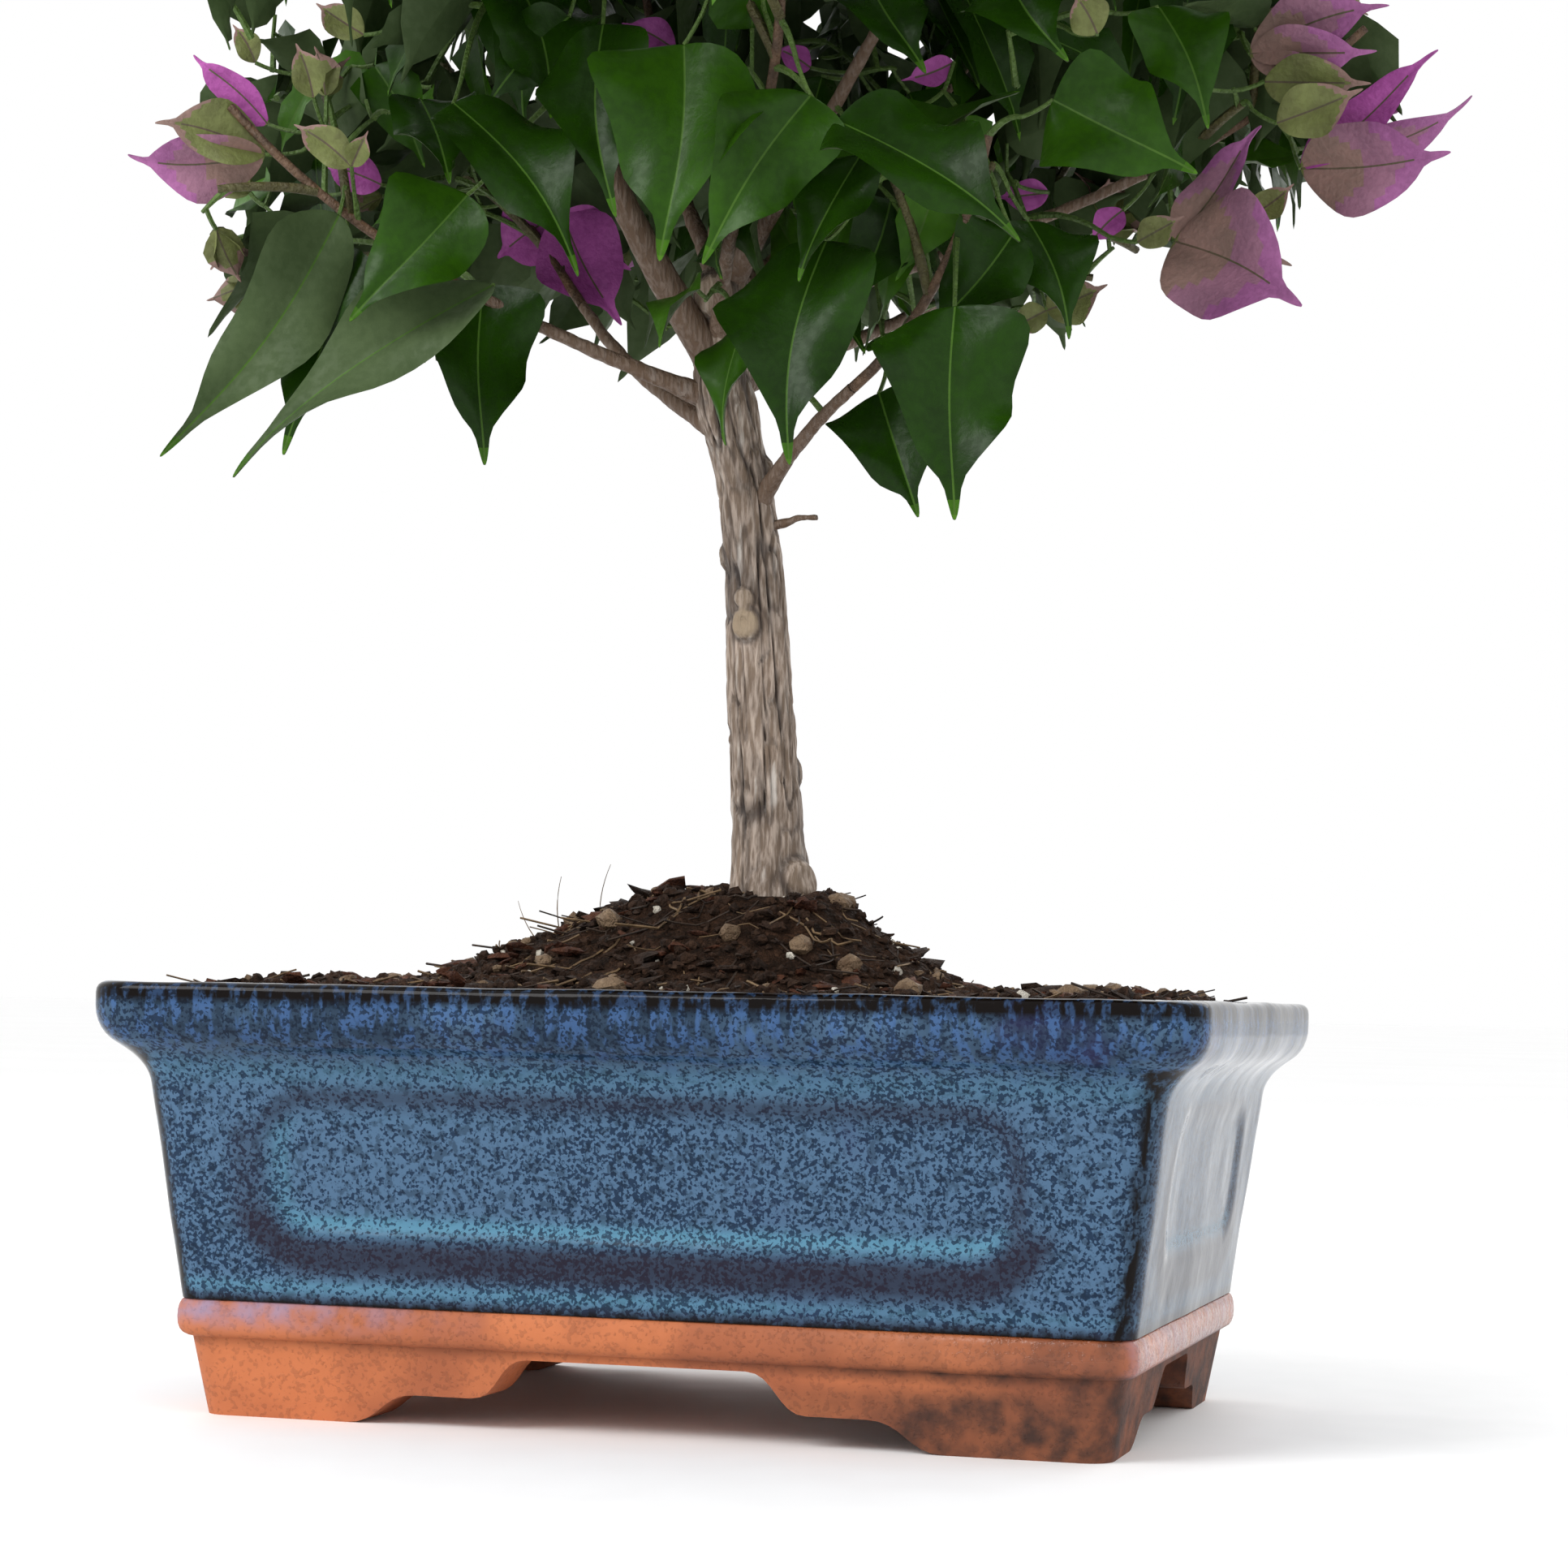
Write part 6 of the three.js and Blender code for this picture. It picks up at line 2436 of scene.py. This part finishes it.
@dataclass(frozen=True)
class BladeShape:
    """The shape of a leaf or bract, as a thin closed shell."""

    rise: float
    fall: float
    fold: float
    curl: float
    hook: float
    wave: float
    rows: int = 9
    steps: tuple[float, ...] = (0.55, 1)
    thick: float = 0.36
    rib: float = 0.18
    scallop: float = 0.05
    twist: float = 0.2
    tip: float = 0.12
    drip: float = 0.3
    sway: float = 0.06

    @property
    def droop(self) -> float:
        """How far the tip falls back, against the blade's length."""
        return self.curl + self.hook

    def along(self, row: Array | int) -> Array | float:
        """Gives how far along the blade rows of points lie, closer together at its ends."""
        return 0.5 - 0.5 * np.cos(math.pi * row / (self.rows - 1))

    @property
    def rib_column(self) -> int:
        """The column of faces that is the rib."""
        return len(self.steps)

    @cached_property
    def layout(self) -> tuple[Array, Array, list[tuple[int, int, int]]]:
        """Lays out the points and faces of a blade.

        Returns:
            The row, column and layer of each point, the faces, and the place of each face.
        """
        columns = 2 * len(self.steps) + 2
        index: dict[tuple[int, int, int], int] = {}

        def corner(row: int, column: int, layer: int) -> int:
            """Gives the number of a point, and shares those of the margins and ends.

            Args:
                row: Its row.
                column: Its column.
                layer: Its layer.

            Returns:
                The number.
            """
            if row in (0, self.rows - 1):
                column, layer = self.rib_column, 0
            if column in (0, columns - 1):
                layer = 0
            return index.setdefault((row, column, layer), len(index))

        faces = []
        places = []
        for layer in (0, 1):
            for row in range(self.rows - 1):
                for column in range(columns - 1):
                    low = corner(row, column, layer)
                    right = corner(row, column + 1, layer)
                    high = corner(row + 1, column + 1, layer)
                    left = corner(row + 1, column, layer)
                    faces.append([high, right, low, left] if layer else [low, right, high, left])
                    places.append((row, column, layer))
        return np.array(list(index)), np.array(faces), places

    def points(self, blade: Blade, turn: float) -> Array:
        """Works out the points of one blade.

        Args:
            blade: The blade.
            turn: Where its waves start.

        Returns:
            The points.
        """
        row, column, layer = self.layout[0].T
        along = self.along(row)
        peak = self.rise / (self.rise + self.fall)
        body = np.minimum(along / (1 - self.tip), 1)
        wide = (body / peak) ** self.rise * ((1 - body) / (1 - peak)) ** self.fall
        point = self.drip * np.minimum(1, 4 * along)
        wide = np.cbrt(wide ** 3 + point ** 3 * np.maximum(1 - along, 0) ** 1.5)
        shares = np.array([-step for step in reversed(self.steps)] + [-1, 1] + list(self.steps))[column]
        sides = np.sign(shares)
        uneven = 1 + self.scallop * np.sin(11 * along + turn + 2 * sides)
        half = np.maximum(wide * blade.width / 2 * uneven, 1e-3)
        on_rib = (column == self.rib_column) | (column == self.rib_column + 1)
        share = np.where(on_rib, sides * np.minimum(self.rib / half, 0.4), shares)
        share = np.where((row == 0) | (row == self.rows - 1), 0, share)
        lift = self.fold * half * (1.5 * np.abs(share) - 0.6 * share ** 2)
        lift += self.wave * half * share ** 2 * np.sin(along * 9 + turn + 1.5 * sides)
        lift += self.twist * math.cos(turn) * along * share * half
        lift -= blade.length * (self.curl * along ** 2 + self.hook * along ** 6) + layer * self.thick
        sway = self.sway * blade.length * np.sin(math.pi * along) * math.sin(turn)
        return (blade.base + (along * blade.length)[:, None] * blade.axis
                + (share * half + sway)[:, None] * blade.side + lift[:, None] * blade.face)


@dataclass
class Crown:
    """The foliage: twigs, leaves and bracts of every mass, each kind joined."""

    rule: GrowthRule
    effects: Effects
    leaf: BladeShape = BladeShape(0.6, 1.1, 0.28, 0.08, 0.07, 0.34, scallop=0.12)
    bract: BladeShape = BladeShape(0.7, 0.8, 0.34, -0.12, 0.14, 0.16, thick=0.3, tip=0.15)
    near_rows: int = 23
    near_steps: tuple[float, ...] = (0.2, 0.4, 0.58, 0.74, 0.88, 1)
    fresh_from: float = 0.9
    tip_from: float = 0.96
    young: float = 0.72
    sprays: tuple = (
        (Green.DEEP, Green.DEEP, Green.MID, Green.MID), (Green.DEEP, Green.MID, Green.MID, Green.FRESH),
        (Green.DEEP, Green.DEEP, Green.DEEP, Green.MID),
    )
    tubes: tuple = ((8, 10), (6, 8), (5, 5))

    def finishes(self) -> tuple[list[Material], list[Material], list[Material]]:
        """Builds the foliage's materials.

        Returns:
            Those of the leaves, of the bracts and of the twigs, each in the order of its slots.
        """
        leaves = [
            ("leaf_deep", "1c3a04", "122803", (0.27, 0.36)), ("leaf_mid", "294c09", "1c3805", (0.28, 0.38)),
            ("leaf_fresh", "3a640f", "2a4c0a", (0.3, 0.42)), ("leaf_rib", "446424", "355219", (0.35, 0.45)),
            ("leaf_under", "465636", "364628", (0.45, 0.6)), ("leaf_tip", "4a741b", "3a5e15", (0.35, 0.45)),
        ]
        rough = (0.5, 0.65)
        bracts = [
            ("bract_magenta", "aa529f", "8a3c80", rough), ("bract_mauve", "9e5e92", "804a76", rough),
            ("bract_olive", "6f7742", "5a5d36", rough), ("bract_vein", "5a4a3e", "4a4832", rough),
            ("bract_blush", "8c6e66", "766058", rough), ("bract_rose", "95687e", "7c566a", rough),
        ]
        rough = (0.5, 0.7)
        twigs = [
            ("twig_wood", "6b5039", "413022", rough), ("twig_young", "55522a", "413a20", rough),
            ("leaf_stalk", "4f6b26", "3c541c", rough),
        ]
        return (
            MottledFinish.several(self.effects, leaves, 70, 600, relief=0.12, gloss=0.12),
            MottledFinish.several(self.effects, bracts, 140, 900, depth=0.0003, gloss=0.3),
            MottledFinish.several(self.effects, twigs, 240, 1200, depth=0.0004, relief=0.6),
        )

    def add_leaf(self, shell: Shell, shape: BladeShape, blade: Blade, turn: float, tone: int) -> None:
        """Adds one leaf to the leaves' mesh.

        Args:
            shell: The leaves' mesh.
            shape: The leaf's shape.
            blade: The leaf.
            turn: Where its waves start.
            tone: Its green.
        """
        _, faces, places = shape.layout
        slots = []
        for row, column, layer in places:
            far = shape.along(row)
            if layer:
                slots.append(Green.UNDER)
            elif far > self.tip_from:
                slots.append(Green.TIP)
            elif column == shape.rib_column:
                slots.append(Green.RIB)
            else:
                slots.append(Green.FRESH if far > self.fresh_from else tone)
        shell.add(shape.points(blade, turn), faces, np.array(slots))

    @staticmethod
    def add_bract(shell: Shell, shape: BladeShape, blade: Blade, turn: float) -> None:
        """Adds one bract to the bracts' mesh.

        Args:
            shell: The bracts' mesh.
            shape: The bract's shape.
            blade: The bract.
            turn: Where its waves start.
        """
        _, faces, places = shape.layout
        slots = []
        for row, column, _ in places:
            far = (row + 0.5) / (shape.rows - 1)
            flushed = far + 0.2 * abs(column - shape.rib_column) / shape.rib_column
            if column == shape.rib_column and far < 0.7:
                slots.append(Petal.VEIN)
            elif far < 0.1:
                slots.append(Petal.OLIVE)
            elif blade.tone == Petal.MAGENTA:
                slots.append(Petal.MAGENTA)
            elif blade.tone == Petal.OLIVE:
                slots.append(Petal.OLIVE if flushed < 0.75 else Petal.BLUSH)
            elif flushed < 0.5:
                slots.append(Petal.BLUSH)
            else:
                slots.append(Petal.ROSE if flushed < 0.68 else Petal.MAUVE)
        shell.add(shape.points(blade, turn), faces, np.array(slots))

    def build(self) -> None:
        """Grows and dresses the crown."""
        deal = np.random.default_rng(self.rule.seed)
        leaves = {part: Shell() for part in ("lower", "upper", "inner", "near")}
        bracts, twigs = Shell(), Shell()
        split = len(self.rule.masses) // 2
        counts = {kind: 0 for kind in Kind}
        masses = [self.rule.grow(own) for own in range(len(self.rule.masses))]
        masses.append(self.rule.inner(masses))
        near = NearSide(self.rule).build(masses, self.leaf.droop, self.bract.droop)
        for own, grown in enumerate([*masses, near]):
            shapes = [self.leaf, self.bract]
            if grown is near:
                shapes = [replace(shape, rows=self.near_rows, steps=self.near_steps) for shape in shapes]
            for branch in grown.stems:
                sides, steps = self.tubes[branch.wood]
                radii = np.linspace(branch.root, branch.tip, steps + 1)
                twigs.add(*tube(branch.curve.points(steps), radii, sides), branch.wood)
            spray = self.sprays[own % len(self.sprays)]
            part = list(leaves)[min(own // split, 2) if grown is not near else 3]
            for blade in grown.blades:
                counts[blade.kind] += 1
                if blade.stalk:
                    sag = Bow(blade.root, (blade.root + blade.base) / 2 - UP * 0.6, blade.base)
                    twigs.add(*tube(sag.points(4), np.full(5, blade.stalk), 5), Wood.SHOOT)
                turn = 6.3 * deal.random()
                if blade.kind is Kind.LEAF:
                    young = blade.length < self.young * self.rule.leaf_length
                    shade = Green.FRESH if young else spray[int(len(spray) * deal.random())]
                    tone = blade.tone if grown is near else shade
                    self.add_leaf(leaves[part], shapes[0], blade, turn, tone)
                else:
                    self.add_bract(bracts, shapes[1], blade, turn)
        LOG.info("leaves %d, bracts %d, young bracts %d", *(counts[kind] for kind in Kind))
        nodes = [f"mass_{mass.name}" for mass in self.rule.masses]
        greens, petals, woods = self.finishes()
        replaced = {"lower": nodes[:split], "upper": nodes[split:], "inner": [], "near": []}
        for part, shell in leaves.items():
            shell.piece(f"leaves_{part}").finish("foliage", replaced[part], 70, *greens)
        bracts.piece("bracts").finish("foliage", [], 70, *petals)
        twigs.piece("twigs").finish("foliage", [], 60, *woods)


# Studio


@dataclass
class Studio:
    """The floor, the light and the camera."""

    effects: Effects
    floor_size: float = 40
    yaw: float = 16.1
    pitch: float = 3.63
    roll: float = 1.09
    lens: float = 78.5
    sensor: float = 36
    sky: float = 1.0
    lamps: tuple = (
        ("key", (-0.6, -0.85, 0.9), 0.6, 9.0), ("fill", (1.0, -0.8, 0.6), 0.9, 1.0),
        ("back", (0.3, 1.1, 0.9), 1.0, 3.0),
    )
    target: float = 0.17

    def floor(self) -> None:
        """Lays the pale floor."""
        bpy.ops.mesh.primitive_plane_add(size=self.floor_size, location=(0, 0, 0))
        floor = bpy.context.object
        floor.name = "studio_floor"
        finish = MottledFinish("pale_floor", self.effects, "ffffff", "fcfcfc", 3, 90, (0.6, 0.7),
                               depth=0.0001, relief=0.05)
        floor.data.materials.append(finish.make())
        floor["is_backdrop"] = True

    def light(self) -> None:
        """Sets the soft studio light."""
        scene = bpy.context.scene
        world = bpy.data.worlds.new("studio")
        world.use_nodes = True
        sky = world.node_tree.nodes["Background"]
        sky.inputs["Color"].default_value = (1.0, 1.0, 1.0, 1.0)
        sky.inputs["Strength"].default_value = self.sky
        scene.world = world
        scene.view_settings.view_transform = "Standard"
        target = MIDDLE + Vector((0, 0, self.target))
        for name, place, size, power in self.lamps:
            lamp = bpy.data.lights.new(name, "AREA")
            lamp.size = size
            lamp.energy = power
            holder = bpy.data.objects.new(name, lamp)
            holder.location = MIDDLE + Vector(place)
            holder.rotation_euler = (target - holder.location).to_track_quat("-Z", "Y").to_euler()
            bpy.context.collection.objects.link(holder)

    def camera(self) -> None:
        """Sets the camera where the photograph was taken from."""
        yaw, pitch, roll = (math.radians(angle) for angle in (self.yaw, self.pitch, self.roll))
        ahead = Vector((-math.sin(yaw) * math.cos(pitch), math.cos(yaw) * math.cos(pitch), math.sin(pitch)))
        level = Vector((math.cos(yaw), math.sin(yaw), 0))
        square = level.cross(ahead)
        right = level * math.cos(roll) + square * math.sin(roll)
        upward = right.cross(ahead)
        data = bpy.data.cameras.new("photo_camera")
        data.lens = self.lens
        data.sensor_width = self.sensor
        data.clip_start = 0.01
        camera = bpy.data.objects.new("photo_camera", data)
        place = TO_FRAME @ Vector(EYE)
        turn = Matrix((right, upward, -ahead)).transposed().to_4x4()
        camera.matrix_world = Matrix.Translation(place) @ turn
        bpy.context.collection.objects.link(camera)
        bpy.context.scene.camera = camera

    def build(self) -> None:
        """Sets up the studio."""
        self.floor()
        self.light()
        self.camera()


def main() -> None:
    """Builds the plant, its pot and the studio."""
    logging.basicConfig(level=logging.INFO, format="%(name)s: %(message)s")
    effects = Effects()
    sizes = PotSizes()
    PotBody(sizes, GlazeFinish("blue_glaze", effects)).build()
    PotFoot(sizes, ClayFinish("fired_clay", effects)).build()
    Soil(sizes, effects).build()
    trunk = Trunk(BarkFinish("bark", effects))
    trunk.build()
    limbs = Limbs(trunk)
    limbs.build()
    Crown(GrowthRule(limbs), effects).build()
    Studio(effects).build()
    boxes = {"cad": CAD_BOX, "visual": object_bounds()}
    {name: [list(corner) for corner in box] for name, box in boxes.items()}


if __name__ == "__main__":
    main()
